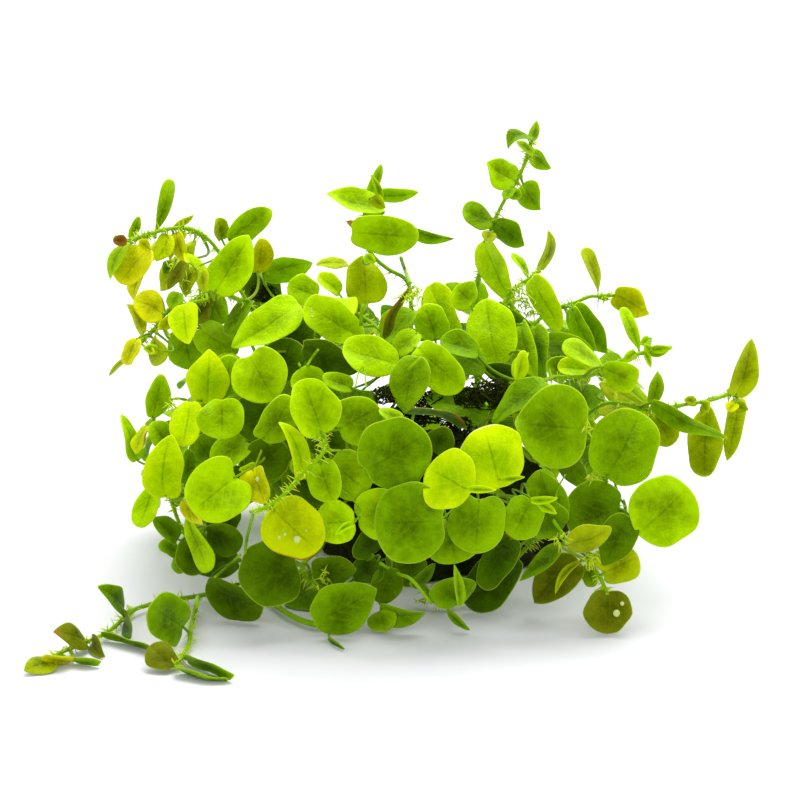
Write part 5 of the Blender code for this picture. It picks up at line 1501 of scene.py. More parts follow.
def spines(starts: np.ndarray, ways: np.ndarray, radius: float, draw: np.random.Generator) -> Skin:
    """Fine pointed rootlets: each is its start plus t times its way, with a sag of t squared.

    Args:
        starts: where they begin.
        ways: the way and length of each.
        radius: their radius.
        draw: the random numbers.

    Returns:
        The rootlets.
    """
    t = np.linspace(0, 1, 4)
    long = np.linalg.norm(ways, axis=1)[:, None, None]
    sag = long * (t * t)[:, None] * np.array((0.0, 0.0, -0.15))
    paths = starts[:, None] + t[:, None] * ways[:, None] + sag
    paths[..., 2] = np.maximum(paths[..., 2], 0.22 * MM)
    radii = radius * (1.1 - 0.85 * t) * np.ones((len(starts), 1))
    seeds = draw.uniform(0, 0.6, (len(starts), 1, 1))
    skin = Skin(STEM_MARKS)
    marks = {"seed": (seeds, seeds[:, :, 0]), "tipward": (0.7 * t[:, None], np.array((0.0, 0.7)))}
    add_tubes(skin, paths, radii, 4, marks)
    return skin


@dataclass
class ShootAssembly:
    """A shoot: its stems with swollen joints, its rootlets and its leaves."""

    name: str
    plan: Plan
    stem_radius: float = 0.55 * MM
    joint_swell: float = 0.30
    joint_long: float = 0.9 * MM
    rootlet_radius: float = 0.19 * MM
    rootlet_long: float = 2.1 * MM
    rootlets_to_joint: int = 9
    rootlets_to_cm: float = 15.0
    longest_stalk: float = 9 * MM

    def build(self, materials: dict) -> list:
        """Makes the shoot's pieces.

        Args:
            materials: the materials of "leaf", "stem", "rootlet" and "water".

        Returns:
            The pieces.
        """
        self.draw = np.random.default_rng(sum(map(ord, self.name)))
        routes = shoot_stems(self.name, FINE_STEP, STEM_START)
        blades = [blade for blade in self.plan.blades if blade.shoot == self.name]
        roots = self.roots(blades, routes)
        solid = f"shoot_{self.name}"
        stem = self.stems(routes, roots).build(f"{self.name}_stem", materials["stem"])
        rootlets = self.rootlets(routes, roots).build(f"{self.name}_rootlets", materials["rootlet"])
        pieces = [stand_in(stem, solid), stand_in(rootlets, solid)]
        small, beads, number = Skin(LEAF_MARKS, LEAF_COLOURS), Skin(()), 0
        for blade, root in zip(blades, roots):
            body = LeafBody(blade, root, Detail.LARGE if blade.leaf.own else Detail.SMALL, self.draw)
            for pixel, radius in DROPS.get((blade.leaf.base, blade.leaf.tip), ()):
                body.add_bead(beads, pixel, radius * MM)
            if not blade.leaf.own:
                body.add_to(small)
                continue
            number += 1
            skin = Skin(LEAF_MARKS, LEAF_COLOURS)
            body.add_to(skin)
            piece = skin.build(f"{self.name}_large_leaf_{number}", materials["leaf"])
            pieces.append(stand_in(piece, f"leaf_{self.name}_{number}"))
        pieces.append(stand_in(small.build(f"{self.name}_leaves", materials["leaf"]), solid))
        if beads.count:
            pieces.append(beads.build(f"{self.name}_water_drops", materials["water"]))
            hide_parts(solid)
        return pieces

    def roots(self, blades: list, routes: list) -> list:
        """The place on the shoot's stems, or on the tangle, where each leaf's stalk begins.

        Args:
            blades: the leaves' blades.
            routes: the stems' points.

        Returns:
            A place for each leaf, no two the same.
        """
        places = np.vstack([line_points(path, 0.5 * MM) for path in routes])
        roots = []
        for blade in blades:
            root = places[taken_place(places, blade)]
            places = places[np.linalg.norm(places - root, axis=1) > MM]
            far = np.linalg.norm(blade.base - root) > self.longest_stalk
            roots.append(tangle_point(blade.base) if far and self.name == HELD_INSIDE else root)
        return roots

    def stems(self, routes: list, roots: list) -> Skin:
        """Round stems that thin towards their tips and swell at each joint.

        Args:
            routes: the stems' points.
            roots: the joints.

        Returns:
            The stems.
        """
        skin = Skin(STEM_MARKS)
        for path in routes:
            share = np.linspace(0, 1, len(path))
            apart = np.linalg.norm(path[:, None] - np.array(roots), axis=-1).min(axis=1)
            swell = 1 + self.joint_swell * np.exp(-((apart / self.joint_long) ** 2))
            radii = self.stem_radius * (1 - STEM_TAPER * share) * swell
            path = np.column_stack((path[:, :2], np.maximum(path[:, 2], radii)))
            add_tubes(skin, path[None], radii[None], 9, {"seed": (0.4 * share[:, None], 0.3)})
        return skin

    def rootlets(self, routes: list, roots: list) -> Skin:
        """Fine spines that stand off the stems, most of them at the joints.

        Args:
            routes: the stems' points.
            roots: the joints.

        Returns:
            The rootlets.
        """
        draw = self.draw
        lines = [line_points(path, 0.4 * MM) for path in routes]
        every = np.vstack(lines)
        ahead = np.vstack([unit(np.gradient(line, axis=0)) for line in lines])
        to_cm = self.rootlets_to_cm * ROOTLETY.get(self.name, 1.0)
        picked = draw.integers(0, len(every), max(6, int(len(every) * 0.04 * to_cm)))
        joints = np.repeat(np.array(roots), self.rootlets_to_joint, axis=0)
        joints = joints + draw.normal(0, 0.7 * MM, joints.shape)
        nearest = np.argmin(np.linalg.norm(every - joints[:, None], axis=-1), axis=1)
        picked = np.concatenate((picked, nearest))
        ways = draw.normal(size=(len(picked), 3))
        ways = unit(ways - 0.8 * np.sum(ways * ahead[picked], axis=1)[:, None] * ahead[picked])
        long = self.rootlet_long * draw.uniform(0.4, 1.4, len(picked))
        return spines(every[picked], ways * long[:, None], self.rootlet_radius, draw)


class Room:
    """Which cells of the heap's space are taken, each a millimetre wide."""

    LOW = np.array((-110.0, -90.0, -5.0)) * MM
    SIZE = (220, 180, 120)

    def __init__(self, points: np.ndarray) -> None:
        """Starts with the cells of these points taken."""
        self.taken = np.zeros(self.SIZE, bool)
        self.fill(points)

    def cells(self, points: np.ndarray) -> np.ndarray:
        """The cells that points lie in."""
        return np.clip(((points - self.LOW) / MM).astype(int), 1, np.array(self.SIZE) - 2)

    def fill(self, points: np.ndarray) -> None:
        """Takes the cells of points and the cells next to them."""
        cells = self.cells(points)
        for move in np.ndindex(3, 3, 3):
            self.taken[tuple((cells + np.array(move) - 1).T)] = True

    def free(self, points: np.ndarray) -> bool:
        """Whether no cell of these points is taken."""
        return not self.taken[tuple(self.cells(points).T)].any()


@dataclass
class InnerLeaves:
    """The shaded leaves inside the heap, behind the outer ones, and those of its top and far side.

    The inner ones close the heap to the eye: each is set where the picture has nothing before it
    yet, but not in the gaps that it shows the floor or the roots through. None meets another.
    """

    plan: Plan
    rounds: tuple = ((10.0, 13.5), (8.5, 12.0), (7.0, 10.0), (6.0, 8.0))
    tries: int = 12
    far_tries: int = 2600
    stalk_reach: float = 34 * MM
    most_pushed: float = 32 * MM
    stems_within: float = 0.86
    core_share: float = 0.6
    hidden_share: float = 0.985
    tangle_share: float = 0.3

    def build(self, materials: dict) -> list:
        """Makes the inner leaves, and those of the top and the far side.

        Args:
            materials: the materials, of which it takes "leaf".

        Returns:
            The two pieces.
        """
        self.draw = np.random.default_rng(21)
        self.room = Room(np.vstack((self.plan.surface, self.plan.stems)))
        within = np.linalg.norm((self.plan.stems - HEAP_MIDDLE) / HEAP_HALF, axis=1) < self.stems_within
        self.stems = self.plan.stems[within]
        pieces = []
        for name, make in (("inner_leaves", self.inner), ("far_leaves", self.far)):
            skin = Skin(LEAF_MARKS, LEAF_COLOURS)
            blades = make()
            for blade, root in blades:
                LeafBody(blade, root, Detail.HIDDEN, self.draw).add_to(skin)
            LOG.info("%s: %d leaves", name, len(blades))
            pieces.append(stand_in(skin.build(name, materials["leaf"]), "root_tangle"))
        return pieces

    def fitted(self, blade: Blade, hidden: bool) -> np.ndarray | None:
        """Takes a leaf's room, where it fits.

        Args:
            blade: the leaf.
            hidden: whether the front leaves must hide it from the picture.

        Returns:
            Its stalk's root, or nothing where it doesn't fit.
        """
        cloud = blade.cloud()
        root = self.stems[taken_place(self.stems, blade)]
        if np.linalg.norm(root - blade.base) > self.stalk_reach or cloud[:, 2].min() < LEAST_HEIGHT:
            return None
        if not self.room.free(cloud) or within_tangle(cloud, -4 * MM).mean() > self.tangle_share:
            return None
        if hidden:
            row, column, depth = cells_seen(cloud)
            if (self.plan.near_depth[row, column] < depth).mean() < self.hidden_share:
                return None
        self.room.fill(cloud)
        return root

    def push_back(self, blade: Blade) -> bool:
        """Moves a leaf behind every front leaf that it meets in the picture.

        Args:
            blade: the leaf, which it moves.

        Returns:
            Whether that was not too far.
        """
        row, column, depth = cells_seen(blade.cloud())
        front = self.plan.near_depth[row, column]
        met = np.isfinite(front)
        if not met.any():
            return True
        behind = float(np.max(front[met] - depth[met])) + 1.5 * MM
        if behind > 0:
            blade.shift(behind)
        return behind < self.most_pushed

    @staticmethod
    def is_open(cell: tuple) -> bool:
        """Whether one of the picture's cells lies in the heap's outline, and in no gap of it."""
        pixel = (cell[1] * CELL_PIXELS + 2, cell[0] * CELL_PIXELS + 2)
        return inside(pixel, HEAP_OUTLINE) and not any(inside(pixel, gap) for gap in GAPS)

    def inner(self) -> list:
        """Leaves where the heap is still open to the eye, in rounds of smaller and smaller ones.

        Returns:
            Each leaf's blade and its stalk's root.
        """
        covered = np.isfinite(self.plan.near_depth)
        around, up = np.meshgrid(np.linspace(0, FULL, 90), np.linspace(0.02, 0.98, 50))
        flat = np.sqrt(1 - up * up)
        core = np.stack((flat * np.cos(around), flat * np.sin(around), up), axis=-1) * TANGLE_HALF
        row, column, _ = cells_seen((TANGLE_MIDDLE + self.core_share * core).reshape(-1, 3))
        covered[row, column] = True
        open_cells = np.array([cell for cell in np.ndindex(CELLS, CELLS) if self.is_open(cell)])
        blades = []
        for least, most in self.rounds:
            for row, column in self.draw.permutation(open_cells):
                if covered[row, column]:
                    continue
                for _ in range(self.tries):
                    blade = self.candidate(row, column, self.draw.uniform(least, most))
                    root = self.fitted(blade, False) if self.push_back(blade) else None
                    if root is not None:
                        blades.append((blade, root))
                        rows, columns, _ = cells_seen(blade.cloud())
                        covered[rows, columns] = True
                        break
        return blades

    def candidate(self, row: int, column: int, wide: float) -> Blade:
        """A shaded leaf about one of the picture's cells, at some depth within the heap.

        Args:
            row: the cell's row.
            column: the cell's column.
            wide: the leaf's width, in millimetres.

        Returns:
            Its blade.
        """
        draw = self.draw
        middle = np.array((column + 0.5, row + 0.5)) * CELL_PIXELS + draw.uniform(-5, 5, 2)
        swing = draw.uniform(0, FULL)
        half = 0.5 * wide * MM / PIXEL * np.array((math.cos(swing), math.sin(swing)))
        depth = heap_depth(tuple(middle)) + draw.uniform(6, 22) * MM
        # The dark tones are painted shade, for leaves deep inside the heap.
        tone = (DARK, DEEP, DEEP, DULL)[int(draw.integers(0, 4))]
        leaf = Leaf(tuple(middle - half), tuple(middle + half), wide, turn=draw.uniform(-30, 30), tone=tone)
        lean = draw.uniform(-3, 3) * MM
        base, tip = clear_spot(leaf.base, depth - lean), clear_spot(leaf.tip, depth + lean)
        return Blade(leaf, base, tip, -INTO, "inner")

    def far(self) -> list:
        """Leaves all round the top and the far side that face outward, at a few depths.

        Returns:
            Each leaf's blade and its stalk's root.
        """
        draw, blades = self.draw, []
        for _ in range(self.far_tries):
            out = unit(draw.normal(size=3))
            out[2] = abs(out[2]) if out[2] < -0.45 else out[2]
            if out[1] < -0.15 and out[2] < 0.6:
                continue
            centre = HEAP_MIDDLE + out * HEAP_HALF * draw.uniform(0.68, 0.98)
            if not -60 * MM < centre[0] < 50 * MM:
                continue
            centre[2] = max(centre[2], 7.5 * MM)
            along = leaning(out, 0.05, draw.uniform(-1.3, 1.3), 0.3)
            wide = draw.uniform(8.5, 15.0)
            tone = (MID, FRESH, DULL, LIME)[int(draw.integers(0, 4))]
            leaf = Leaf((0, 0), (0, 0), wide, turn=draw.uniform(-25, 25), tone=tone)
            blade = outward_blade(leaf, centre, out, along, "far")
            root = self.fitted(blade, True)
            if root is not None:
                blades.append((blade, root))
        return blades


def inside(pixel: tuple, outline: tuple) -> bool:
    """Whether a line to the right of a pixel crosses an outline an odd number of times.

    Args:
        pixel: the pixel.
        outline: the outline's corners, as pixels.

    Returns:
        Whether the pixel lies inside.
    """
    a = np.array(outline, float)
    b = np.roll(a, -1, axis=0)
    spans = (a[:, 1] > pixel[1]) != (b[:, 1] > pixel[1])
    slope = (b[:, 0] - a[:, 0]) / np.where(b[:, 1] == a[:, 1], 1e-9, b[:, 1] - a[:, 1])
    return bool((spans & (pixel[0] < a[:, 0] + (pixel[1] - a[:, 1]) * slope)).sum() % 2)


# The outline within which the heap is closed to the eye, and the gaps in it.
HEAP_OUTLINE = (
    (185, 350), (200, 336), (235, 336), (245, 290), (300, 290), (330, 310), (360, 300), (400, 330),
    (425, 300), (470, 300), (520, 320), (548, 345), (590, 375), (600, 395), (592, 425), (580, 430),
    (570, 470), (555, 480), (556, 520), (545, 560), (540, 580), (500, 592), (430, 592), (400, 575),
    (330, 600), (270, 595), (215, 590), (185, 560), (178, 520), (185, 505), (185, 470), (160, 470),
    (158, 400),
)
GAPS = (
    ((335, 362), (382, 362), (382, 395), (335, 395)),
    ((508, 532), (545, 532), (545, 578), (508, 578)),
    ((383, 572), (437, 578), (437, 606), (383, 606)),
    ((243, 508), (268, 508), (268, 552), (243, 552)),
    ((580, 428), (594, 428), (594, 478), (580, 478)),
    ((372, 380), (400, 380), (400, 412), (372, 412)),
    ((465, 375), (520, 375), (520, 415), (465, 415)),
)


@dataclass
class FinePieces:
    """The smallest leaves, the loose stems and the clusters of rootlets.

    Each is close before what the picture shows behind it, and all stand for the root tangle.
    """

    plan: Plan
    stalk_radius: float = 0.28 * MM
    spine_radius: float = 0.20 * MM
    before: float = 1.2 * MM
    near_pixels: float = 7.0
    lies_from: float = 0.6
    lies_at: float = 1.4 * MM

    def __post_init__(self) -> None:
        """Sees where the stems show in the picture."""
        self.across, self.down, self.stem_depth = seen(self.plan.stems)

    def depth(self, pixel: tuple) -> float:
        """How deep a piece lies at a pixel.

        Args:
            pixel: where it shows.

        Returns:
            The depth of the stem there, or else one just before the nearest leaf there.
        """
        apart = np.hypot(self.across - pixel[0], self.down - pixel[1])
        nearest = int(np.argmin(apart))
        front = self.plan.near_depth[int(pixel[1] / CELL_PIXELS), int(pixel[0] / CELL_PIXELS)]
        on_stem = apart[nearest] < self.near_pixels and self.stem_depth[nearest] < front
        if on_stem or not np.isfinite(front):
            return float(self.stem_depth[nearest])
        return float(front - self.before)

    def build(self, materials: dict) -> list:
        """Makes the small leaves, the loose stems and the clusters.

        Args:
            materials: the materials of "leaf", "stem" and "rootlet".

        Returns:
            The three pieces.
        """
        self.draw = np.random.default_rng(8)
        pieces = []
        for name, skin, finish, slot in (
            ("small_leaves", self.leaves(), "leaf", "leaf_lime"),
            ("loose_stems", self.stems(), "stem", "stem_green"),
            ("rootlet_clusters", self.clusters(), "rootlet", "stem_green"),
        ):
            pieces.append(stand_in(skin.build(name, materials[finish]), "root_tangle"))
        return pieces

    def leaves(self) -> Skin:
        """Makes the smallest leaves, each with a stalk from the nearest stem.

        Returns:
            The leaves.
        """
        skin = Skin(LEAF_MARKS, LEAF_COLOURS)
        for leaf in SMALL_LEAVES:
            depth = self.depth(leaf.base) + (leaf.sink - 2.0) * MM
            base, tip = clear_spot(leaf.base, depth), clear_spot(leaf.tip, depth + leaf.lean * MM)
            root = self.plan.stems[np.argmin(np.linalg.norm(self.plan.stems - base, axis=1))]
            blade = Blade(leaf, base, tip, -INTO, "small")
            LeafBody(blade, root, Detail.SMALL, self.draw, stalk_radius=self.stalk_radius).add_to(skin)
        return skin

    def stems(self) -> Skin:
        """Makes the loose stems. The thick one lies on the surface.

        Returns:
            The stems.
        """
        skin = Skin(STEM_MARKS)
        for pixels, radius in LOOSE_STEMS:
            lies = radius > self.lies_from
            depths = [surface_depth(pixel, self.lies_at) if lies else self.depth(pixel) for pixel in pixels]
            points = np.array([clear_spot(pixel, depth) for pixel, depth in zip(pixels, depths)])
            path = smooth_path(points, MM)
            path[:, 2] = np.maximum(path[:, 2], radius * MM)
            add_tubes(skin, path[None], np.full((1, len(path)), radius * MM), 7, {"seed": (0.3, 0.3)})
        return skin

    def clusters(self) -> Skin:
        """Makes the clusters of rootlets, two from each start.

        Returns:
            The rootlets.
        """
        draw, starts, ways = self.draw, [], []
        for pixel, count, spread, drop in SPINE_CLUSTERS:
            start = spot(pixel, self.depth(pixel)) + draw.normal(0, 0.45 * spread * MM, (count, 3))
            starts.append(np.vstack((start, start)))
            way = unit(draw.normal(size=(2 * count, 3)) + np.array((0.0, 0.0, -drop)))
            ways.append(way * draw.uniform(0.8, 2.6, (2 * count, 1)) * MM)
        return spines(np.vstack(starts), np.vstack(ways), self.spine_radius, draw)


# The smallest leaves, and dark ones set deep in the heap's gaps, whose DARK tone is painted shade.
SMALL_LEAVES = (
    Leaf((531, 500), (558, 498), 2.6, 0, 2, FRESH, POINTED, fold=40, bend=0.05),
    Leaf((538, 502), (557, 514), 2.4, 0, 2, FRESH, POINTED, fold=30),
    Leaf((467, 489), (497, 490), 2.4, 0, 2, LIME, POINTED, fold=40),
    Leaf((501, 480), (525, 477), 2.2, 0, 2, LIME, POINTED, fold=40),
    Leaf((354, 524), (335, 535), 2.4, 0, 2, FRESH, POINTED, fold=40, bend=0.12),
    Leaf((127, 241), (113, 240), 2.6, 0, 2, RUST, BEAN),
    Leaf((146, 348), (155, 353), 2, 0, 2, OLIVE, POINTED),
    Leaf((392, 568), (380, 604), 6, 0, 2, DARK),
    Leaf((175, 666), (228, 680), 6, 70, 2, DULL, BEAN, bend=0.06),
    Leaf((92, 640), (104, 657), 4.5, 30, 2, BRONZE, POINTED),
    Leaf((581, 561), (555, 594), 2, 30, 2, MOSS, POINTED, bend=0.1),
    Leaf((508, 196), (520, 190), 4, 30),
    Leaf((512, 188), (504, 200), 3.4, 30, 2, DULL, POINTED),
    Leaf((492, 232), (486, 240), 3.4, 20, 2, MOSS),
    Leaf((650, 352), (645, 344), 2, 0, 2, FRESH, POINTED),
    Leaf((158, 350), (143, 348), 2.4, 0, 2, FRESH, POINTED),
    Leaf((629, 516), (603, 566), 9, 0, 5, DARK, POINTED),
    Leaf((252, 472), (284, 442), 10.5, 0, 15, DARK),
    Leaf((316, 456), (338, 424), 10, 0, 13, DARK),
    Leaf((202, 534), (188, 575), 9, 0, 12, DARK),
    Leaf((212, 532), (238, 508), 7, 0, 9, DARK),
    Leaf((555, 528), (540, 470), 9, 0, 6, DEEP, POINTED),
    Leaf((186, 262), (168, 290), 4, 20, 2, BRONZE, POINTED),
    Leaf((197, 266), (186, 298), 4.5, 30, 2, MOSS, POINTED, bend=0.1),
    Leaf((202, 270), (206, 293), 3.2, 30, 2, MOSS, POINTED),
    Leaf((176, 232), (184, 262), 5, 30, 2, OLIVE, POINTED),
    Leaf((168, 234), (156, 262), 4.5, 20, 2, YELLOW, POINTED, bend=-0.1),
    Leaf((286, 470), (334, 500), 11, 0, 20, DARK),
    Leaf((300, 452), (318, 480), 8, 0, 15, DULL, POINTED),
    Leaf((268, 398), (246, 440), 10, 0, 14, DARK),
    Leaf((247, 470), (232, 505), 9, 0, 16, DARK),
    Leaf((196, 440), (214, 462), 8, 0, 12, DEEP),
    Leaf((650, 350), (673, 348), 2, 0, 2, MID, POINTED),
    Leaf((646, 352), (651, 368), 1.6, 0, 2, MID, POINTED),
    Leaf((636, 352), (622, 362), 2.4, 0, 2, MID, POINTED),
    Leaf((650, 338), (640, 345), 2, 0, 2, FRESH, POINTED),
    Leaf((173, 262), (163, 274), 3, 0, 2, DEEP, POINTED),
    Leaf((178, 292), (171, 310), 4, 20, 2, DULL, POINTED),
    Leaf((148, 248), (140, 240), 2.4, 0, 2, OLIVE),
    Leaf((381, 200), (371, 174), 2.2, 30, 2, MID, POINTED),
    Leaf((372, 197), (386, 208), 3.2, 20, 2, MOSS, POINTED),
    Leaf((364, 256), (376, 262), 2.4, 0, 2, FRESH, POINTED),
    Leaf((697, 402), (684, 400), 2.6, 20, 2, MOSS, POINTED),
    Leaf((702, 404), (709, 412), 3, 20, 2, MOSS, POINTED),
    Leaf((735, 405), (749, 409), 3, 20, 2, MOSS, POINTED),
    Leaf((735, 403), (728, 412), 3, 20, 2, OLIVE),
    Leaf((472, 303), (456, 287), 7.5, 10, 2, FRESH),
    Leaf((517, 381), (522, 350), 4, 40, 2, LIME, BEAN),
)

# Clusters of rootlets: the pixel, half how many, how far they spread in millimetres, and their droop.
SPINE_CLUSTERS = (
    ((414, 291), 22, 2.2, 0.4), ((407, 297), 10, 1.5, 0.6), ((524, 297), 22, 2.4, 1.0),
    ((532, 309), 14, 2.0, 1.2), ((516, 288), 10, 1.6, 0.4), ((190, 283), 14, 3.0, 0.3),
    ((176, 262), 8, 2.2, 0.2), ((203, 297), 14, 2.4, 0.2), ((587, 424), 8, 1.2, 1.4),
    ((592, 476), 9, 1.4, 0.2), ((560, 538), 10, 1.6, 0.2), ((591, 560), 12, 1.6, 0.2),
    ((423, 600), 8, 1.8, 0.0), ((324, 581), 12, 1.8, 0.0), ((172, 404), 10, 1.6, 0.2),
)

# Loose stems: their pixels, and their radius in millimetres.
LOOSE_STEMS = (
    (((380, 563), (396, 573), (412, 580), (431, 603)), 0.40),
    (((472, 383), (480, 394), (487, 405)), 0.32),
    (((553, 520), (560, 530), (568, 540)), 0.40),
    (((288, 341), (294, 354), (300, 366)), 0.32),
    (((318, 350), (312, 358), (307, 366)), 0.32),
    (((268, 598), (282, 610), (300, 620), (318, 625)), 0.70),
    (((240, 555), (228, 566), (215, 577)), 0.36),
    (((253, 515), (247, 538), (245, 553)), 0.36),
    (((401, 258), (405, 270), (410, 283)), 0.45),
    (((363, 304), (361, 316), (361, 326)), 0.45),
    (((355, 388), (359, 371), (362, 367), (365, 373), (366, 388)), 0.18),
    (((408, 370), (414, 364), (421, 358)), 0.36),
    (((565, 475), (557, 490), (556, 502)), 0.20),
    (((198, 597), (197, 602), (196, 608)), 0.55),
)

# Tufts of roots: the pixel, how far behind the heap's outer form and how large, in millimetres,
# and how many roots.
TUFTS = (
    ((492, 398), 9.0, 7.0, 90), ((470, 400), 11.0, 5.0, 60), ((515, 404), 9.0, 5.5, 60),
    ((386, 397), 4.0, 4.2, 60), ((458, 430), 22.0, 5.0, 60), ((428, 402), 24.0, 4.0, 50),
    ((262, 296), 7.0, 4.5, 60), ((408, 420), 27.0, 6.5, 90), ((440, 414), 30.0, 6.5, 70),
)


@dataclass
class RootTangle:
    """The loose mass of fine roots and old stems inside the clump, as strands within its dome."""

    strands: int = 1700
    strand_points: int = 16
    strand_radius: float = 0.12 * MM
    old_stems: int = 22
    old_stem_radius: float = 0.55 * MM
    core_share: float = 0.69
    waves: tuple = ((0.4, 0.5), (0.9, 0.28), (2.1, 0.10), (3.4, 0.03))

    def build(self, materials: dict) -> list:
        """Makes the strands, the old stems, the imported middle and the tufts.

        Args:
            materials: the materials of "root" and "stem".

        Returns:
            The pieces, which all stand for the solid tangle.
        """
        self.draw = np.random.default_rng(5)
        thin = 1 - 0.5 * np.linspace(0, 1, self.strand_points)
        skins = []
        for name, count, radius, most, sides in (
            ("root_strands", self.strands, self.strand_radius, 1.5, 3),
            ("old_stems", self.old_stems, self.old_stem_radius, 1.1, 8),
        ):
            paths = self.curves(count, radius)
            size = self.draw.uniform(0.6, most, (count, 1))
            skins.append((name, self.bundle(paths, radius * size * thin, sides)))
        # The packed middle is a dark dome that shows through the gaps; its near-black root colour there is
        # partly painted shade.
        skins.append(("packed_roots", self.core()))
        for number, tuft in enumerate(TUFTS, 1):
            skins.append((f"root_tuft_{number}", self.tuft(*tuft)))
        pieces = []
        for name, skin in skins:
            finish, slot = ("stem", "stem_green") if name == "old_stems" else ("root", "root_brown")
            pieces.append(stand_in(skin.build(name, materials[finish]), "root_tangle"))
        return pieces

    def bundle(self, paths: np.ndarray, radii: np.ndarray, sides: int) -> Skin:
        """Tubes along paths, as tube_rings takes them, each with a tint of its own."""
        seeds = self.draw.uniform(0, 0.8, (len(paths), 1, 1))
        skin = Skin(STEM_MARKS)
        add_tubes(skin, paths, radii, sides, {"seed": (seeds, seeds[:, :, 0])})
        return skin

    def core(self) -> Skin:
        """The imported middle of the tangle: its dome at a share of its size, with finer lumps.

        Returns:
            The middle. Its lumps are products of sines of the three directions.
        """
        polar, around = np.meshgrid(np.linspace(0, math.pi, 60), circle(90), indexing="ij")
        x, y, z = np.sin(polar) * np.cos(around), np.sin(polar) * np.sin(around), np.cos(polar)
        lumps = np.sin(9 * x + 4 * z) * np.sin(11 * y + 2)
        lumps = lumps + 0.6 * np.sin(27 * x + 3) * np.sin(25 * y) * np.sin(29 * z)
        reach = self.core_share * (tangle_edge(around, z) + 0.06 * lumps)
        spots = TANGLE_MIDDLE + np.stack((x, y, z), axis=-1) * reach[..., None] * TANGLE_HALF
        spots[..., 2] = np.maximum(spots[..., 2], 0.5 * MM)
        skin = Skin(STEM_MARKS)
        skin.add(spots[None, 1:-1], spots[None, [0, -1], 0], {"seed": (0.1, 0.1)})
        return skin

    def tuft(self, pixel: tuple, behind: float, half: float, count: int) -> Skin:
        """A ball of curled roots, where the picture shows one between the leaves.

        Args:
            pixel: where it shows.
            behind: how far behind the heap's outer form, in millimetres.
            half: half its height, in millimetres.
            count: how many roots.

        Returns:
            The roots.
        """
        paths = (self.curves(count, self.strand_radius) - TANGLE_MIDDLE) / TANGLE_HALF
        paths = paths * np.array((1.2, 1.0, 1.0)) * half * MM
        paths = spot(pixel, heap_depth(pixel) + behind * MM) + paths
        paths[..., 2] = np.maximum(paths[..., 2], self.strand_radius)
        radii = self.strand_radius * self.draw.uniform(0.7, 1.4, (count, 1)) * np.ones(self.strand_points)
        return self.bundle(paths, radii, 3)

    def curves(self, count: int, radius: float) -> np.ndarray:
        """Curves within the dome: a start, plus four waves of random directions along the curve.

        Args:
            count: how many.
            radius: how far they stay from the dome's edge.

        Returns:
            Their points, as (curves, points, 3).
        """
        draw = self.draw
        t = np.linspace(0, 1, self.strand_points)[None, :, None]
        start = unit(draw.normal(size=(count, 1, 3))) * draw.uniform(0.35, 1.0, (count, 1, 1))
        start[..., 2] = np.abs(start[..., 2]) - 0.15
        paths = start + np.zeros_like(t)
        for turns, size in self.waves:
            way = draw.normal(size=(count, 1, 3)) * size
            phase = draw.uniform(0, FULL, (count, 1, 1))
            paths = paths + way * np.sin(FULL * turns * t + phase)
        reach = np.linalg.norm(paths, axis=-1)
        around = np.arctan2(paths[..., 1], paths[..., 0])
        up = paths[..., 2] / np.maximum(reach, 1e-9)
        limit = tangle_edge(around, up) * draw.uniform(0.42, 0.71, (count, 1))
        paths = paths * np.minimum(1.0, limit / np.maximum(reach, 1e-9))[..., None]
        spots = TANGLE_MIDDLE + paths * (TANGLE_HALF - radius)
        spots[..., 2] = np.maximum(spots[..., 2], radius)
        return spots


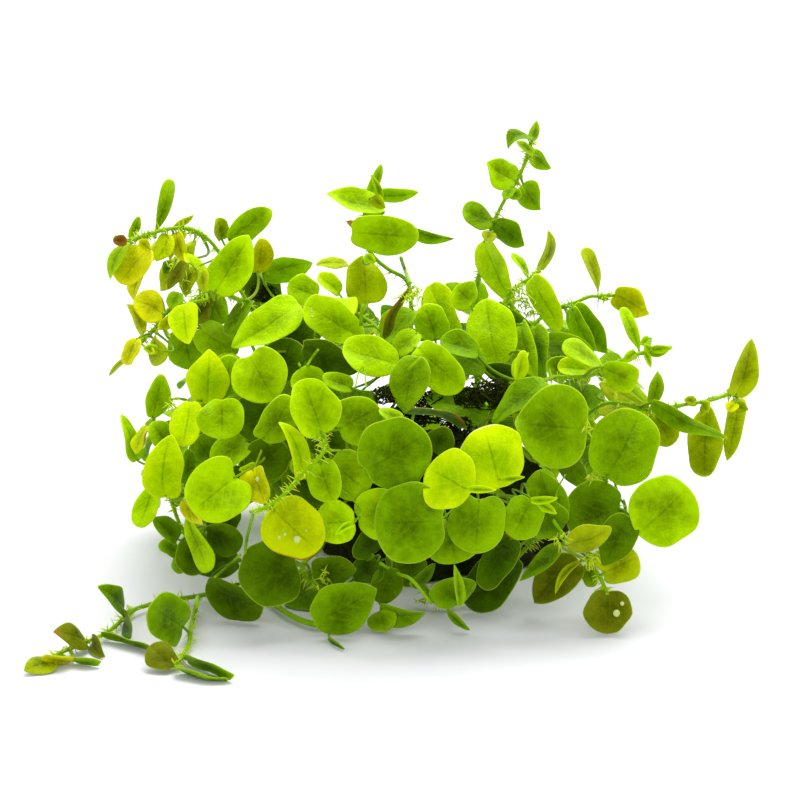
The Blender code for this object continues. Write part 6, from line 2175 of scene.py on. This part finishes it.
@dataclass(frozen=True)
class Stage:
    """A pale floor, soft light from a broad panel above and a white room, and the camera."""

    floor_size: float = 6.0
    room_light: float = 0.94
    panel_size: float = 0.9
    panel_power: float = 15.0
    panel_place: tuple = (0.14, 0.42, 1.1)
    panel_aim: tuple = (0, 0, 0.03)
    sensor: float = 36.0

    def build(self) -> None:
        """Sets the stage."""
        self.floor()
        self.lights()
        self.camera()

    def floor(self) -> None:
        """A flat pale floor at height 0."""
        half = self.floor_size / 2
        mesh = bpy.data.meshes.new("floor")
        rim = [(-half, -half, 0), (half, -half, 0), (half, half, 0), (-half, half, 0)]
        mesh.from_pydata(rim, [], [(0, 1, 2, 3)])
        mesh.materials.append(FLOOR_FINISH.material())
        floor = placed("floor", mesh)

    def lights(self) -> None:
        """A white world, and a broad panel above and a little behind."""
        world = bpy.data.worlds.new("white room")
        world.use_nodes = True
        background = world.node_tree.nodes["Background"]
        fill(background, {"Color": (1.0, 1.0, 1.0, 1.0), "Strength": self.room_light})
        bpy.context.scene.world = world
        panel = bpy.data.lights.new("panel", "AREA")
        panel.shape = "SQUARE"
        panel.size = self.panel_size
        panel.energy = self.panel_power
        lamp = placed("panel", panel)
        lamp.location = self.panel_place
        lamp.rotation_euler = (Vector(self.panel_aim) - lamp.location).to_track_quat("-Z", "Y").to_euler()

    def camera(self) -> None:
        """The camera where the picture's eye stands, with the picture's width in its view."""
        data = bpy.data.cameras.new("camera")
        data.sensor_width = self.sensor
        data.lens = self.sensor * EYE_DISTANCE / (PICTURE_WIDE * PIXEL)
        data.clip_start = 0.05
        camera = placed("camera", data)
        camera.location = MIDDLE - EYE_DISTANCE * INTO
        camera.rotation_euler = Vector(INTO).to_track_quat("-Z", "Y").to_euler()
        bpy.context.scene.camera = camera
        bpy.context.scene.view_settings.view_transform = "Standard"


def report(pieces: list) -> None:
    """Rides each piece on the clump's one body and logs its faces."""
    for piece in pieces:
        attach(piece, "root")
        LOG.info("%s: %d faces", piece.name, len(piece.data.polygons))


def corners(box: tuple) -> list:
    """A box's two corners as plain lists."""
    return [[float(value) for value in corner] for corner in box]


def main() -> None:
    """Builds the clump on its frame, then the stage."""
    logging.basicConfig(level=logging.INFO, format="%(name)s: %(message)s")
    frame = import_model()
    LOG.info("%d solid nodes", len(frame["nodes"]))
    plan = Plan()
    materials = {
        "leaf": LeafFinish().material(),
        "stem": STEM_FINISH.material(),
        "rootlet": ROOTLET_FINISH.material(),
        "root": ROOT_FINISH.material(),
        "water": WATER_FINISH.material(),
    }
    report(RootTangle().build(materials))
    for name in plan.names:
        report(ShootAssembly(name, plan).build(materials))
    report(InnerLeaves(plan).build(materials))
    report(FinePieces(plan).build(materials))
    Stage().build()


if __name__ == "__main__":
    main()
